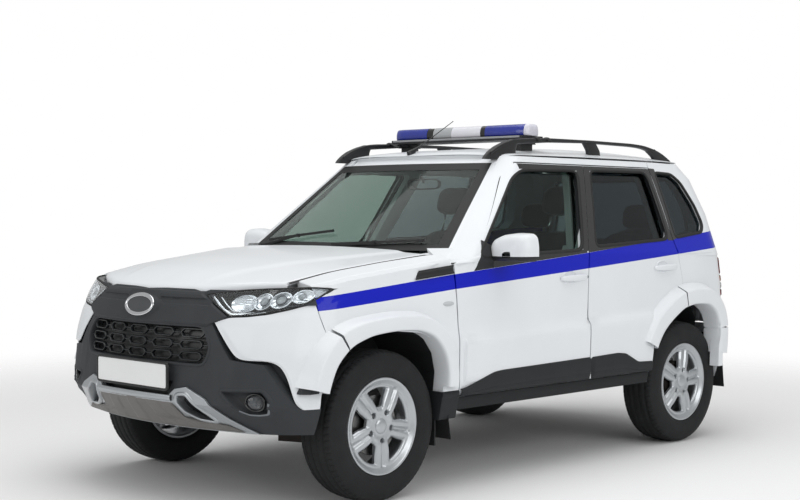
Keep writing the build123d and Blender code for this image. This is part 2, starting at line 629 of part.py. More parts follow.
def tail_lamp_zone(grow=0.0):
    return box(609 - grow, WIDE, 2846 - grow, 3100, 812 - grow, 1052 + grow)


def make_tail_lamp():
    return biggest((LOWER - lower_body(FRAME_WALL)) & tail_lamp_zone())


def tailgate_space(grow=0.0):
    ring = grown(TAILGATE, grow) if grow else TAILGATE
    return front_prism(ring, 2500, 3200)


def make_tailgate():
    lower = (LOWER - lower_body(TAILGATE_WALL + 15)) & box(-WIDE, WIDE, 2700, 3100, 600, 1080)
    upper = (UPPER - upper_body(TAILGATE_WALL)) & box(-WIDE, WIDE, 2600, 3100, 1055, 1600)
    gate = (lower + upper) & tailgate_space()
    return gate_hinges_gate(gate - front_prism(TAILGATE_WINDOW, 2500, 3200, WINDOW_CORNER))


def make_tailgate_glass():
    pane = upper_body(14) - upper_body(14 + GLASS)
    return pane & front_prism(grown(TAILGATE_WINDOW, -SEAT), 2500, 3200, WINDOW_CORNER - SEAT)


def make_windscreen():
    pane = upper_body(4) - upper_body(4 + GLASS)
    return pane & front_prism(screen_outline(SCREEN_LOW_Z, SCREEN_TOP_Z - 4, 14 + SEAT), 200, 1180)


# Roof.  Columns, in mm: y, z at the edge, z in the middle
ROOF_STATIONS = [(1000, 1594, 1604), (1180, 1596, 1622), (1700, 1598, 1648), (2300, 1598, 1642), (2840, 1593, 1600)]
ROOF_EDGE_X = 625.0


def make_roof():
    faces = []
    for y, edge, mid in ROOF_STATIONS:
        wire = Wire([Line((-ROOF_EDGE_X, ROOF_SEAT_Z), (ROOF_EDGE_X, ROOF_SEAT_Z)),
                     Line((ROOF_EDGE_X, ROOF_SEAT_Z), (ROOF_EDGE_X, edge)),
                     ThreePointArc((ROOF_EDGE_X, edge), (0, mid), (-ROOF_EDGE_X, edge)),
                     Line((-ROOF_EDGE_X, edge), (-ROOF_EDGE_X, ROOF_SEAT_Z))])
        faces.append(Pos(0, y, 0) * (FRONT * make_face(wire)))
    plan = extrude(upper_outline(UPPER_LEVELS[-1], 1.0), 100)
    crown = loft(faces, ruled=True) & plan
    header = (UPPER - UPPER_PILLAR_IN) & box(-469, 469, 900, 1200, SCREEN_TOP_Z, 1590)
    tail_header = (UPPER - UPPER_PILLAR_IN) & box(-399, 399, 2700, 3100, 1556, 1590)
    return crown + header + tail_header


# ---------------------------------------------------------------- cowl, wipers, inner front
COWL = [(-744, 390), (744, 390), (744, 463), (689, 463), (689, 590), (-689, 590), (-689, 463), (-744, 463)]
COWL_TOP_Z = 1100.0


def make_cowl():
    slab = (DECK - deck(46)) & plan_prism(COWL, 1000, 1300)
    notch = box(BONNET_LUG[0] - 10, BONNET_LUG[1] + 10, 380, 402, 1000, 1300)
    return biggest(slab - box(-WIDE, WIDE, 200, 900, COWL_TOP_Z, 1300) - notch - twin(notch))


def screen_point(x, z, off):
    """A point in front of the windscreen's outer face at x and z, off mm from it along Y."""
    for (za, ya, ea, *_), (zb, yb, eb, *_) in zip(UPPER_LEVELS, UPPER_LEVELS[1:]):
        if z <= zb:
            k = (z - za) / (zb - za)
            mid, ex, ey = ya + (yb - ya) * k, ea[0] + (eb[0] - ea[0]) * k, ea[1] + (eb[1] - ea[1]) * k
            return (x, mid + (ey - mid) * (x / ex) ** 2 - off, z)


# pivot x, blade: inner x and z, outer x and z
WIPERS = [(-30, 30, 1140, 560, 1165), (-590, -560, 1150, -40, 1205)]


BLADE = 12.0               # width and depth of a wiper blade
ARM = 10.0
PIVOT = 18.0


def bar(a, b, w):
    """A square bar from point a to point b."""
    a, b = Vector(*a), Vector(*b)
    return Plane(origin=a, z_dir=b - a) * Pos(0, 0, (b - a).length / 2) * Box(w, w, (b - a).length)


def make_wipers():
    pieces = []
    for pivot, xa, za, xb, zb in WIPERS:
        a, b = screen_point(xa, za, 20), screen_point(xb, zb, 20)
        m = ((a[0] + b[0]) / 2, screen_point((xa + xb) / 2, (za + zb) / 2, 20)[1], (a[2] + b[2]) / 2)
        x, y, z = screen_point(pivot, 1120, 15)
        post = box(x - PIVOT / 2, x + PIVOT / 2, y - PIVOT / 2, y + PIVOT / 2, COWL_TOP_Z + SEAT, z + PIVOT / 2)
        pieces.append(biggest(bar(a, m, BLADE) + bar(m, b, BLADE) + Pos(*m) * Box(PIVOT, BLADE + 2, PIVOT) + post
                              + bar((x, y, z), m, ARM)))
    return Compound(children=pieces)


def make_bulkhead():
    wall = box(-689.7, 689.7, 476.3, 494.3, 400, 1050)
    shelf = box(-689.7, 689.7, 490, 560, 1012, 1040)
    return wall + shelf


def make_engine():
    """Engine and gearbox as one plain block."""
    block = box(-215, 215, -400, 176, 430, 930) + box(-150, 150, -360, 140, 930, 985)
    block = block + box(-RAIL_X[0] + SEAT, RAIL_X[0] - SEAT, -100, -40, 432, 462)
    return block + side_prism([(170, 470), (170, 800), (300, 760), (468, 640), (468, 470)], -150, 150)


# ---------------------------------------------------------------- chassis
# side rails, seen from the side (y, z)
RAIL = [(-610, 400), (400, 400), (560, 300), (1980, 300), (2230, 430), (2900, 430), (2900, 500), (2190, 500), (1950, 376),
        (600, 376), (440, 476), (-610, 476)]
RAIL_X = (345.0, 425.0)
KINGPIN_X = 673.0
KINGPIN_RADIUS = 30.0
HUB_FACE_X = 64.0          # from the wheel's middle plane to the inner face of the rim's disc


# socket for a screw-in towing eye, open towards the front
TOW_SOCKET = (350.0, -640.0, 456.0)
TOW_BORE = 15.0
TOW_DEPTH = 70.0
TOW_WALL = 12.0
# y from, y to, z from, z to
CROSS_MEMBERS = [(-600, -540, 400, 476), (1180, 1260, 300, 376), (2820, 2880, 430, 500)]


def make_chassis():
    """Two side rails with a towing socket in each front end, and the cross members between them."""
    x, y, z = TOW_SOCKET
    y_end = CROSS_MEMBERS[0][1]
    rail = side_prism(RAIL, *RAIL_X) + cylinder_y(y, y_end, x, z, TOW_BORE + TOW_WALL)
    rail = rail - cylinder_y(y - 10, y + TOW_DEPTH, x, z, TOW_BORE)
    span = RAIL_X[0] - SEAT
    members = [box(-span, span, *member) for member in CROSS_MEMBERS]
    room = cylinder_y(y - 10, y_end + 10, x, z, TOW_BORE + TOW_WALL + SEAT)
    members[0] = members[0] - room - twin(room)
    pieces = [rail, twin(rail), *members]
    return Compound(children=[solid for piece in pieces for solid in solids_of(piece)])


def make_front_axle():
    beam = box(-440, 440, -70, 70, 310, 399.7)
    arm = plan_prism([(300, -160), (640, -34), (668, -34), (668, 34), (640, 34), (300, 160)], 236, 270)
    post = box(300, 440, -60, 60, 236, 330)
    strut = cylinder_z(262, 740, 556, 0, 28)
    shaft = cylinder_x(300, KINGPIN_X - KINGPIN_RADIUS, 0, 343, 15)
    left = (arm + post + strut + shaft) - cylinder_z(200, 500, KINGPIN_X, 0, KINGPIN_RADIUS + SEAT)
    return beam + left + twin(left)


def make_knuckle():
    x = FRONT_TRACK / 2 + HUB_FACE_X - SEAT
    return (cylinder_z(228, 462, KINGPIN_X, 0, KINGPIN_RADIUS) + cylinder_x(KINGPIN_X, x, 0, TYRE_RADIUS, 36)
            + cylinder_x(x - 40, x - 26, 0, TYRE_RADIUS, 136))


def make_rear_axle():
    x = REAR_TRACK / 2 + HUB_FACE_X - SEAT
    half = cylinder_x(0, x, REAR_AXLE_Y, TYRE_RADIUS, 38) + cylinder_x(x - 70, x - 20, REAR_AXLE_Y, TYRE_RADIUS, 115)
    case = cylinder_x(-10, 120, REAR_AXLE_Y, TYRE_RADIUS, 105)
    spring = cylinder_z(TYRE_RADIUS + 10, 429.7, 385, REAR_AXLE_Y, 48)
    return half + twin(half) + case + spring + twin(spring)


def make_floor_pan():
    low = box(-689.7, 689.7, 494.3, 2040, 376.3, 400) + box(-689.7, 689.7, 476.3, 494.3, 376.3, 424)
    riser = box(-596, 596, 2016, 2040, 376.3, 600)
    high = box(-596, 596, 2016, 2960, 576, 600)
    tail = box(-560, 560, 2936, 2960, 500.3, 640)
    tunnel = box(-150, 150, 476.3, 1700, 376.3, 480) - box(-130, 130, 470, 1690, 300, 460)
    pan = low + riser + high + tail + tunnel + make_bulkhead()
    for x0, x1 in (RAIL_X, (-RAIL_X[1], -RAIL_X[0])):
        pan = pan - side_prism(grown(RAIL, SEAT), x0 - SEAT, x1 + SEAT)
    return biggest(pan)


def make_arch_liners():
    front = side_prism(grown(FRONT_ARCH, 11), RAIL_X[1] + SEAT, 798, ARCH_CORNER + 11) - side_prism(grown(FRONT_ARCH, 3), 449, 900, ARCH_CORNER + 3)
    front = front - box(400, 900, -900, 900, 200, 440)
    front = front - box(400, 900, -900, -380, 200, 900) - box(400, 900, 380, 900, 200, 900)
    return front + box(736, 798, 360, 381, 446, 470) + box(736, 798, 372, 381, 210, 470)


def make_rear_liner():
    rear = side_prism(grown(REAR_ARCH, 11), 596 + SEAT, FRAME_FACE_X, ARCH_CORNER + 11) - side_prism(grown(REAR_ARCH, 3), 605, 900, ARCH_CORNER + 3)
    return rear - box(400, 900, 1900, 2900, 200, 403) - rear_tyre_room


def make_exhaust():
    pipe = bent_tube([(-280, 480, 262), (-280, 1200, 250), (-500, 1330, 250), (-500, 2100, 250), (-300, 2230, 246), (-300, 2910, 262)], 60, 24)
    silencer = cylinder_y(1500, 1950, -500, 250, 70)
    hangers = box(-292, -268, 1190, 1214, 250, 300 - SEAT) + box(-312, -288, 2830, 2854, 260, 430 - SEAT)
    return pipe + silencer + hangers


# ---------------------------------------------------------------- wheels, about their own axis, outer face to +X
TYRE_PROFILE = [(-94, 223), (-107, 262), (-105, 292), (-93, 318), (-78, 335), (-50, 342), (0, 343), (50, 342), (78, 335),
                (93, 318), (105, 292), (107, 262), (94, 223), (86, 216), (60, 212), (-60, 212), (-86, 216)]
RIM_PROFILE = [(-94, 222), (-94, 206), (-84, 200), (-70, 196), (0, 178), (40, 180), (64, 60), (64, 0), (86, 0), (86, 62),
               (76, 190), (84, 198), (94, 206), (94, 222), (86, 215), (58, 211), (-58, 211), (-86, 215)]


def turned(profile):
    """A solid of revolution about the X axis from (x, r) points."""
    face = make_face(Polyline(*[(x, r) for x, r in profile], close=True))
    return revolve(face, Axis.X)


def make_tyre():
    return turned(TYRE_PROFILE)


def make_rim():
    rim = turned(RIM_PROFILE)
    for k in range(5):
        window = [(92, -38), (92, 38), (172, 52), (172, -52)]
        hole = Pos(20, 0, 0) * extrude(Plane.YZ * outline(window, 12), 90)
        rim = rim - Rot(36 + 72 * k, 0, 0) * hole
    return rim


# ---------------------------------------------------------------- cabin
WHEEL_PLACE = (365.0, 1046.0, 952.0)
COLUMN_ANGLE = 24.0


def column_axis():
    return (0.0, cos(radians(COLUMN_ANGLE)), sin(radians(COLUMN_ANGLE)))


def make_steering_wheel():
    ring = Torus(178, 15) + Pos(0, 0, -30) * Cylinder(58, 44)
    for angle in (0, 180, 270):
        ring = ring + Rot(0, 0, angle) * (Pos(105, 0, -14) * Rot(0, -6, 0) * Box(150, 34, 14))
    x, y, z = WHEEL_PLACE
    return Pos(x, y, z) * Rot(-(90 - COLUMN_ANGLE), 0, 0) * ring


def make_dashboard():
    body = side_prism([(560.3, 1050), (560.3, 760), (700, 640), (800, 640), (860, 720), (900, 820), (905, 930), (850, 985), (700, 1062)], -684, 684)
    console = box(-140, 140, 700, 1500, 480.3, 660) + box(-140, 140, 1250, 1560, 480.3, 720)
    x, y, z = WHEEL_PLACE
    ux, uy, uz = column_axis()
    column = rod((x, y - 300 * uy, z - 300 * uz), (x, y - (52 + SEAT) * uy, z - (52 + SEAT) * uz), 34)
    return body + console + column


def make_seat(x0, x1):
    cushion = side_prism([(1130, 560), (1130, 660), (1180, 700), (1620, 670), (1640, 560)], x0, x1)
    base = box(x0 + 60, x1 - 60, 1200, 1600, 400.3, 570)
    back = side_prism([(1560, 640), (1640, 600), (1720, 680), (1860, 1180), (1830, 1230), (1770, 1220)], x0, x1)
    head = side_prism([(1792, 1290), (1870, 1280), (1910, 1400), (1880, 1450), (1830, 1440)], (x0 + x1) / 2 - 135, (x0 + x1) / 2 + 135)
    posts = [rod(((x0 + x1) / 2 + d, 1812, 1200), ((x0 + x1) / 2 + d, 1846, 1330), 7) for d in (-60, 60)]
    return cushion + base + back + head + posts[0] + posts[1]


def make_front_seats():
    return both(biggest(make_seat(155, 640)))


def make_rear_bench():
    cushion = side_prism([(2050, 600.3), (2050, 740), (2100, 775), (2490, 745), (2490, 600.3)], -580, 580)
    back = side_prism([(2420, 740), (2500, 700), (2640, 1160), (2610, 1210), (2560, 1200)], -580, 580)
    bench = cushion + back
    for x in (-390, 390):
        bench = bench + side_prism([(2580, 1200), (2630, 1190), (2668, 1330), (2640, 1370), (2600, 1360)], x - 130, x + 130)
    return bench


# ---------------------------------------------------------------- rear end
def make_rear_bumper():
    skin = (LOWER - lower_body(SKIN)) & box(-WIDE, WIDE, 2712, 3100, 345, 642)
    band = flare(REAR_ARCH, box(780, WIDE, 2500, 2900, 420, 642))
    skin = skin + band + twin(band)
    room = rear_arch_cut + rear_tyre_room
    stay = box(350, 420, 2900 + SEAT, 3000, 440, 490) & LOWER
    flap = box(640, 758, REAR_FLAP[2] + 9 + SEAT, 2990, 560, 590) & LOWER
    return biggest(skin - room - twin(room)) + stay + twin(stay) + flap + twin(flap)


def make_spare_carrier():
    x, y, z = SPARE_PLACE
    hub = cylinder_y(3010, y + HUB_FACE_X - SEAT, x, z, 60)
    arms = front_prism([(x - 180, z - 150), (x + 180, z - 150), (x + 180, z + 150), (x - 180, z + 150)], 3010, 3050)
    return (hub + arms) - LOWER


SPARE_PLACE = (0.0, REAR_END - TYRE_WIDTH / 2 + 0.5, 862.0)


def make_rear_plate():
    return box(-260, 260, 3000, 3028, 480, 592) - LOWER


def make_front_plate():
    plate = box(-260, 260, -772, -764, 524, 636) + box(-200, 200, -765, -740, 566, 630)
    return plate - LOWER


# rear mud flap: x from, x to, y, z from, z to
REAR_FLAP = (640, 758, 2812, 296, 600)


def make_arch_linings():
    """Liners of the four arches, with the mud flaps behind the wheels."""
    x0, x1, y, z0, z1 = REAR_FLAP
    left = [make_arch_liners(), make_rear_liner(), box(x0, x1, y, y + 9, z0, z1)]
    return Compound(children=[solid for shape in left for solid in (*solids_of(shape), *solids_of(twin(shape)))])


# ---------------------------------------------------------------- roof equipment
RAIL_OUTER = [(1000, 1590), (1150, 1668), (1290, 1697), (2380, 1692), (2560, 1662), (2700, 1600), (2700, 1570), (1000, 1570)]
RAIL_HOLES = [[(1200, 1570), (1250, 1656), (1300, 1668), (1780, 1668), (1800, 1570)],
              [(1880, 1570), (1900, 1666), (2360, 1664), (2480, 1646), (2540, 1570)]]


def make_roof_rail(roof):
    rail = side_prism(RAIL_OUTER, 521, 559)
    for hole in RAIL_HOLES:
        rail = rail - side_prism(hole, 500, 580)
    return biggest(rail - roof - UPPER)


BAR_Y = 1483.0


def make_light_bar_base(roof):
    base = box(-480, 480, BAR_Y - 92, BAR_Y + 92, 1690, 1712)
    for x in (-420, 420):
        base = base + box(x - 22, x + 22, BAR_Y - 50, BAR_Y + 50, 1590, 1695)
    return base - roof


# lenses from the left end to the right end: x from, x to
LENSES = [(300, 492), (150, 299.4), (-149.4, 149.4)]


def make_light_bar_lenses():
    section = [(BAR_Y - 96, 1712.3), (BAR_Y + 96, 1712.3), (BAR_Y + 96, 1742), (BAR_Y + 70, 1776), (BAR_Y - 70, 1776), (BAR_Y - 96, 1742)]
    pieces = []
    for x0, x1 in LENSES:
        pieces.append(side_prism(section, x0, x1))
        if x0 > 0:
            pieces.append(side_prism(section, -x1, -x0))
    return Compound(children=[p for q in pieces for p in solids_of(q)])


def make_antenna(roof):
    foot = (0, 1030, 1600)
    return (rod((0, 1024, 1600), (0, 1391, 1807), 4) + rod((0, 1024, 1596), (0, 1060, 1622), 13)) - roof


def make_mirror():
    head = side_prism([(742, 1088), (726, 1140), (744, 1192), (820, 1196), (832, 1140), (820, 1086)], 884, 1049)
    arm = box(800, 900, 742, 800, 1092, 1118)
    return head + arm


# ---------------------------------------------------------------- the assembly
def build_nodes():
    roof = make_roof()
    nodes = {}
    left_right = {
        "front_wing": make_wing(),
        "door_front": make_front_door(),
        "door_rear": make_rear_door(),
        "side_frame": make_side_frame(),
        "glass_front": make_window_glass(FRONT_WINDOW),
        "glass_rear": make_window_glass(REAR_WINDOW),
        "knuckle": make_knuckle(),
    }
    left_right["mirror"] = make_mirror() - left_right["door_front"] - left_right["glass_front"]
    for name, shape in left_right.items():
        nodes[name + "_left"] = shape
        nodes[name + "_right"] = twin(shape)
    tyre, rim = make_tyre(), make_rim()
    for name, x, y in (("front", FRONT_TRACK / 2, 0.0), ("rear", REAR_TRACK / 2, REAR_AXLE_Y)):
        place = Pos(x, y, TYRE_RADIUS)
        nodes["tyre_" + name + "_left"] = place * tyre
        nodes["rim_" + name + "_left"] = place * rim
        nodes["tyre_" + name + "_right"] = twin(place * tyre)
        nodes["rim_" + name + "_right"] = twin(place * rim)
    spare = Pos(*SPARE_PLACE) * Rot(0, 0, 90)
    nodes["side_frame_right"] = nodes["side_frame_right"] + gate_hinges_body()
    nodes["tyre_spare"] = spare * tyre
    nodes["rim_spare"] = spare * rim
    nodes.update({
        "roof_panel": roof,
        "bonnet_panel": make_bonnet(),
        "front_bumper": make_front_bumper(),
        "bumper_corners": both(make_bumper_corner()),
        "grille": make_grille(),
        "skid_plate": make_skid_plate(),
        "headlamps": both(make_headlamp()),
        "fog_lamps": both(make_fog_lamp()),
        "windscreen": make_windscreen(),
        "quarter_glass": both(make_window_glass(QUARTER_WINDOW)),
        "cowl": make_cowl(),
        "wipers": make_wipers(),
        "tailgate_panel": make_tailgate(),
        "tailgate_glass": make_tailgate_glass(),
        "spare_carrier": make_spare_carrier(),
        "rear_bumper": make_rear_bumper(),
        "tail_lamps": both(make_tail_lamp()),
        "number_plates": Compound(children=[*solids_of(make_front_plate()), *solids_of(make_rear_plate())]),
        "roof_rails": both(make_roof_rail(roof)),
        "light_bar_base": make_light_bar_base(roof),
        "light_bar_lenses": make_light_bar_lenses(),
        "antenna": make_antenna(roof),
        "floor_pan": make_floor_pan(),
        "arch_liners": make_arch_linings(),
        "engine": make_engine(),
        "chassis_frame": make_chassis(),
        "front_axle": make_front_axle(),
        "rear_axle": make_rear_axle(),
        "exhaust": make_exhaust(),
        "dashboard": make_dashboard(),
        "steering_wheel": make_steering_wheel(),
        "front_seats": make_front_seats(),
        "rear_bench": make_rear_bench(),
    })
    return nodes


SHIFT = FRONT_OVERHANG - LENGTH / 2

for node, shape in build_nodes().items():
    placed = Pos(0, SHIFT, 0) * shape
    export_step(placed, "parts/" + node + ".step")
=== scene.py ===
# %% [markdown]
# # A compact police off-roader, dressed for rendering
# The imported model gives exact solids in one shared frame: metres, X to the car's left,
# Y to its rear, Z up, with the front facing -Y. This lesson lays smooth sheet metal,
# glass, lamps, tyres and trim around those solids, one cell at a time.
# Nearly every shape is a function of two parameters worked out with numpy on a grid.

# %% The frame and the tools
import json
import math

import bmesh
import bpy
import numpy as np
from mathutils import Matrix

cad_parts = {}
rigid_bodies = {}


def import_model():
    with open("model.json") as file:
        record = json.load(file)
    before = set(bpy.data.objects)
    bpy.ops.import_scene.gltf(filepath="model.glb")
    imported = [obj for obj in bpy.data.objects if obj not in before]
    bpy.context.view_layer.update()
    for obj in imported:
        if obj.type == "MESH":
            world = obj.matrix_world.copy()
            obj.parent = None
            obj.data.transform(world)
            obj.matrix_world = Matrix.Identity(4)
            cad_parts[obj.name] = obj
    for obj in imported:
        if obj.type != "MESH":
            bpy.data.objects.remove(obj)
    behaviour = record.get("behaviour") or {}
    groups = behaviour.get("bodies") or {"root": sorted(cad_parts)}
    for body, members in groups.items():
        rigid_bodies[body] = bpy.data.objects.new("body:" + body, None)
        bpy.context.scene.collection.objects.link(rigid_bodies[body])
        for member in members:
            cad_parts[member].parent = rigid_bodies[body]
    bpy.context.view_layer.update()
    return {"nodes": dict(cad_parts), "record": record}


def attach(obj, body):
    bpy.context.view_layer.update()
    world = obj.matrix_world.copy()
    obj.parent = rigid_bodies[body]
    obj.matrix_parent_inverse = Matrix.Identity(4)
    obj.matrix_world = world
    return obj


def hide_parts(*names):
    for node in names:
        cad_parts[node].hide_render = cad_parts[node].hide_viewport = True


for spare_object in list(bpy.data.objects):
    bpy.data.objects.remove(spare_object)
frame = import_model()
SHIFT = -1277.5            # mm from the front axle line to the frame's origin, along Y
NODES = frame["nodes"]
DRESSED = set()            # nodes that a modelled piece stands for, filled as the pieces are made
print("nodes", len(NODES))

# %% [markdown]
# ## Placing points
# A car is drawn from its front axle line, in millimetres, because that is how its
# measurements are quoted. One function turns such points into metres in the shared frame.
# A second makes a mesh object from a grid of points: row i and column j become vertex
# (i, j), and each small square of four neighbours becomes one face.


# %% Grid to mesh
def place(points):
    """Points in mm from the front axle line, as metres in the shared frame: (x, y + shift, z) / 1000."""
    p = np.asarray(points, float).copy()
    p[..., 1] += SHIFT
    return p / 1000.0


def mesh_object(name, vertices, faces, material, smooth=True):
    """A mesh object at the origin from an (n, 3) array in metres and an (m, k) array of corner numbers."""
    mesh = bpy.data.meshes.new(name)
    vertices, faces = np.asarray(vertices, np.float32), np.asarray(faces, np.int32)
    mesh.vertices.add(len(vertices))
    mesh.vertices.foreach_set("co", vertices.ravel())
    count, corners = faces.shape
    mesh.loops.add(count * corners)
    mesh.loops.foreach_set("vertex_index", faces.ravel())
    mesh.polygons.add(count)
    mesh.polygons.foreach_set("loop_start", np.arange(count, dtype=np.int32) * corners)
    mesh.update(calc_edges=True)
    mesh.polygons.foreach_set("use_smooth", np.full(count, smooth))
    mesh.validate()
    piece = bpy.data.objects.new(name, mesh)
    bpy.context.scene.collection.objects.link(piece)
    if material:
        mesh.materials.append(material)
    return piece


def grid_faces(rows, cols, close_rows=False, close_cols=False, flip=False):
    """Corner numbers of the squares of a rows x cols grid; a closed direction joins its last line to
    its first."""
    i = np.arange(rows if close_rows else rows - 1)[:, None]
    j = np.arange(cols if close_cols else cols - 1)[None, :]
    i2, j2 = (i + 1) % rows, (j + 1) % cols
    quad = np.stack(np.broadcast_arrays(i * cols + j, i2 * cols + j, i2 * cols + j2, i * cols + j2),
                    -1).reshape(-1, 4)
    return quad[:, ::-1] if flip else quad


def angles(count):
    """One turn in equal steps, as an array of radians without the last, which meets the first."""
    return np.linspace(0, 2 * math.pi, count, endpoint=False)


def disc_grid(rings, count):
    """Shares of the radius as a column, and angles as a row."""
    return np.linspace(0.001, 1, rings)[:, None], angles(count)[None]


def xyz(x, y, z):
    """Three arrays that fit each other, as points."""
    return np.stack(np.broadcast_arrays(x, y, z), -1)


def bent(value, power):
    """sign(v) |v|^power, which squares off a circle."""
    return np.sign(value) * np.abs(value) ** power


def capped(ring):
    """A tube's rings with a closing ring at each end, shrunk to its middle."""
    first, last = (r.mean(1, keepdims=True) + 0 * r for r in (ring[:1], ring[-1:]))
    return np.concatenate([first, ring, last])


def tube(grid, close_rows=False, flip=False):
    """A grid closed round its columns, with its faces, as joined_piece takes them."""
    return grid, grid_faces(*grid.shape[:2], close_rows, True, flip)


def sheet(name, grid, material, body, facing, wall=0.0, bevel=0.0, close_cols=False, stands_for=()):
    """A grid of points (rows, cols, 3) in mm made into a panel: its seen face turned towards facing,
    then given
    a wall inwards by Solidify and rounded edges by Bevel. The sum of all face normals says which way
    it looks."""
    rows, cols = grid.shape[:2]
    across, down = np.diff(grid, axis=1)[:-1], np.diff(grid, axis=0)[:, :-1]
    looks = np.cross(down, across).sum((0, 1)) @ np.array(facing, float)
    faces = grid_faces(rows, cols, False, close_cols, looks < 0)
    return finish_panel(name, place(grid).reshape(-1, 3), faces, material, body, wall, bevel, stands_for)


def finish_panel(name, vertices, faces, material, body, wall=0.0, bevel=0.0, stands_for=()):
    """Object, wall thickness, rounded edges, body to ride on, and the solids it stands for."""
    piece = mesh_object(name, vertices, faces, material)
    if wall:
        solid = piece.modifiers.new("wall", "SOLIDIFY")
        solid.thickness, solid.offset, solid.use_even_offset = wall / 1000.0, -1.0, False
    if bevel:
        edge = piece.modifiers.new("edge", "BEVEL")
        edge.width, edge.segments = bevel / 1000.0, 2
        edge.limit_method, edge.angle_limit = "ANGLE", math.radians(50)
        edge.harden_normals = True
    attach(piece, body)
    if stands_for:
        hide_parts(*stands_for)
        DRESSED.update(stands_for)
    return piece


# %% [markdown]
# ## The body's skin
# Pressed sheet metal has one continuous skin, and the shut lines are only cut into it.
# So the skin is made first, as a function, and each panel asks it for points.
# At each height the outline is a chain of flat arcs; a Gaussian average along the outline
# and up the side rounds the joins, the way a clay modeller pulls a spline over them.

# %% Skin tables
LOWER = np.array([
    # z, nose y, front corner x y, side start x y, side x, side end x y, rear corner x y, tail y
    (345, -665, 500, -590, 836, -330, 842, 830, 2740, 600, 2950, 2990),
    (470, -762, 585, -672, 860, -372, 866, 848, 2780, 620, 2990, 3015),
    (715, -748, 600, -640, 860, -335, 868, 848, 2790, 610, 2995, 3020),
    (757, -742, 595, -632, 850, -328, 857, 838, 2790, 608, 2995, 3020),
    (900, -706, 585, -590, 836, -300, 850, 832, 2785, 600, 2993, 3020),
    (1080, -600, 560, -470, 800, -235, 834, 815, 2770, 575, 2985, 3015),
    (1200, -500, 530, -350, 775, -130, 822, 800, 2760, 560, 2970, 3005)], float)
UPPER = np.array([
    # z, screen y, screen edge x y, side start x y, side end x y, rear corner x y, tail y
    (1060, 360, 741, 500, 841, 584, 822, 2770, 578, 2988, 3020),
    (1300, 645, 652, 780, 744, 862, 733, 2760, 520, 2975, 3003),
    (1500, 905, 578, 1015, 664, 1100, 655, 2700, 470, 2905, 2930),
    (1590, 1022, 545, 1121, 618, 1196, 612, 2640, 440, 2800, 2825)], float)


def arc_through(p, q, share, n):
    """n points of a flat arc from p to q that stands out to the right by share of the chord:
    chord point + normal * 4 * share * t * (1 - t), which is the parabola nearest to that arc."""
    p, q = np.asarray(p, float), np.asarray(q, float)
    t = np.linspace(0, 1, n, endpoint=False)[:, None]
    d = q - p
    return p + d * t + np.array([d[1], -d[0]]) * (4 * share * t * (1 - t))


def gauss_smooth(table, sigma, axis):
    """Average of each value with its neighbours, weighted exp(-d^2 / 2 sigma^2), ends carried on straight."""
    n = int(3 * sigma) + 1
    w = np.exp(-0.5 * (np.arange(-n, n + 1) / sigma) ** 2)
    w /= w.sum()
    moved = np.moveaxis(table, axis, 0)
    first = 2 * moved[0] - moved[n:0:-1]
    last = 2 * moved[-1] - moved[-2:-n - 2:-1]
    padded = np.concatenate([first, moved, last])
    out = sum(w[k] * padded[k:k + len(moved)] for k in range(2 * n + 1))
    return np.moveaxis(out, 0, axis)


def levels_at(rows, z):
    """The rows of a level table, joined by straight lines in z."""
    return np.stack([np.interp(z, rows[:, 0], rows[:, k]) for k in range(rows.shape[1])], -1)


def lower_row(v):
    """One level's outline from its table row: nose, corner, side, rear corner and tail, 511 points."""
    _, nose, fx, fy, sx, sy, side, ex, ey, rx, ry, tail = v
    k = (side - (sx + ex) / 2) / (ey - sy)
    t = np.linspace(0, 1, 60, endpoint=False)
    bow = np.stack([np.zeros(60), (fy - nose) * (t ** 2 - t)], -1)
    return np.concatenate([arc_through((0, nose), (fx, fy), 0, 60) + bow,
                           arc_through((fx, fy), (sx, sy), 0.13, 44), arc_through((sx, sy), (ex, ey), k, 312),
                           arc_through((ex, ey), (rx, ry), 0.16, 34),
                           arc_through((rx, ry), (0, tail), 0.02, 60), [[0, tail]]])


def upper_row(v):
    """As lower_row, for the glasshouse: screen, pillar corner, side, rear corner and tail, 357 points."""
    _, mid, cx, cy, sx, sy, ex, ey, rx, ry, tail = v
    t = np.linspace(0, 1, 60, endpoint=False)
    screen = np.stack([cx * t, mid + (cy - mid) * t ** 2], -1)
    return np.concatenate([screen, arc_through((cx, cy), (sx, sy), 0.05, 12),
                           arc_through((sx, sy), (ex, ey), 0.006, 190),
                           arc_through((ex, ey), (rx, ry), 0.16, 34),
                           arc_through((rx, ry), (0, tail), 0.02, 60), [[0, tail]]])


def skin_table(rows, row_points, z_low, z_high, step, sigma_z):
    """Heights every step mm, and the outline at each, averaged up the side."""
    z = np.arange(z_low, z_high + 1, step, dtype=float)
    table = np.stack([row_points(levels_at(rows, zz)) for zz in z])
    return z, gauss_smooth(table, sigma_z, 0)


LOWER_Z, lower_xy = skin_table(LOWER, lower_row, 340, 1200, 10, 2.0)
UPPER_Z, upper_xy = skin_table(UPPER, upper_row, 1050, 1600, 10, 2.5)
for table, sigma in ((lower_xy, 3.5), (upper_xy, 2.2)):
    ends = table[:, [0, -1]].copy()
    table[:] = gauss_smooth(table, sigma, 1)
    table[:, 0], table[:, -1] = ends[:, 0], ends[:, 1]
    table[:, [0, -1], 0] = 0
print("skin tables", lower_xy.shape, upper_xy.shape)


# %% [markdown]
# ## Reading the skin
# These functions turn an outline number and a height into a point of the skin, moved out by a given
# number of millimetres. Others find the outline number that belongs to a place seen from the front or side.

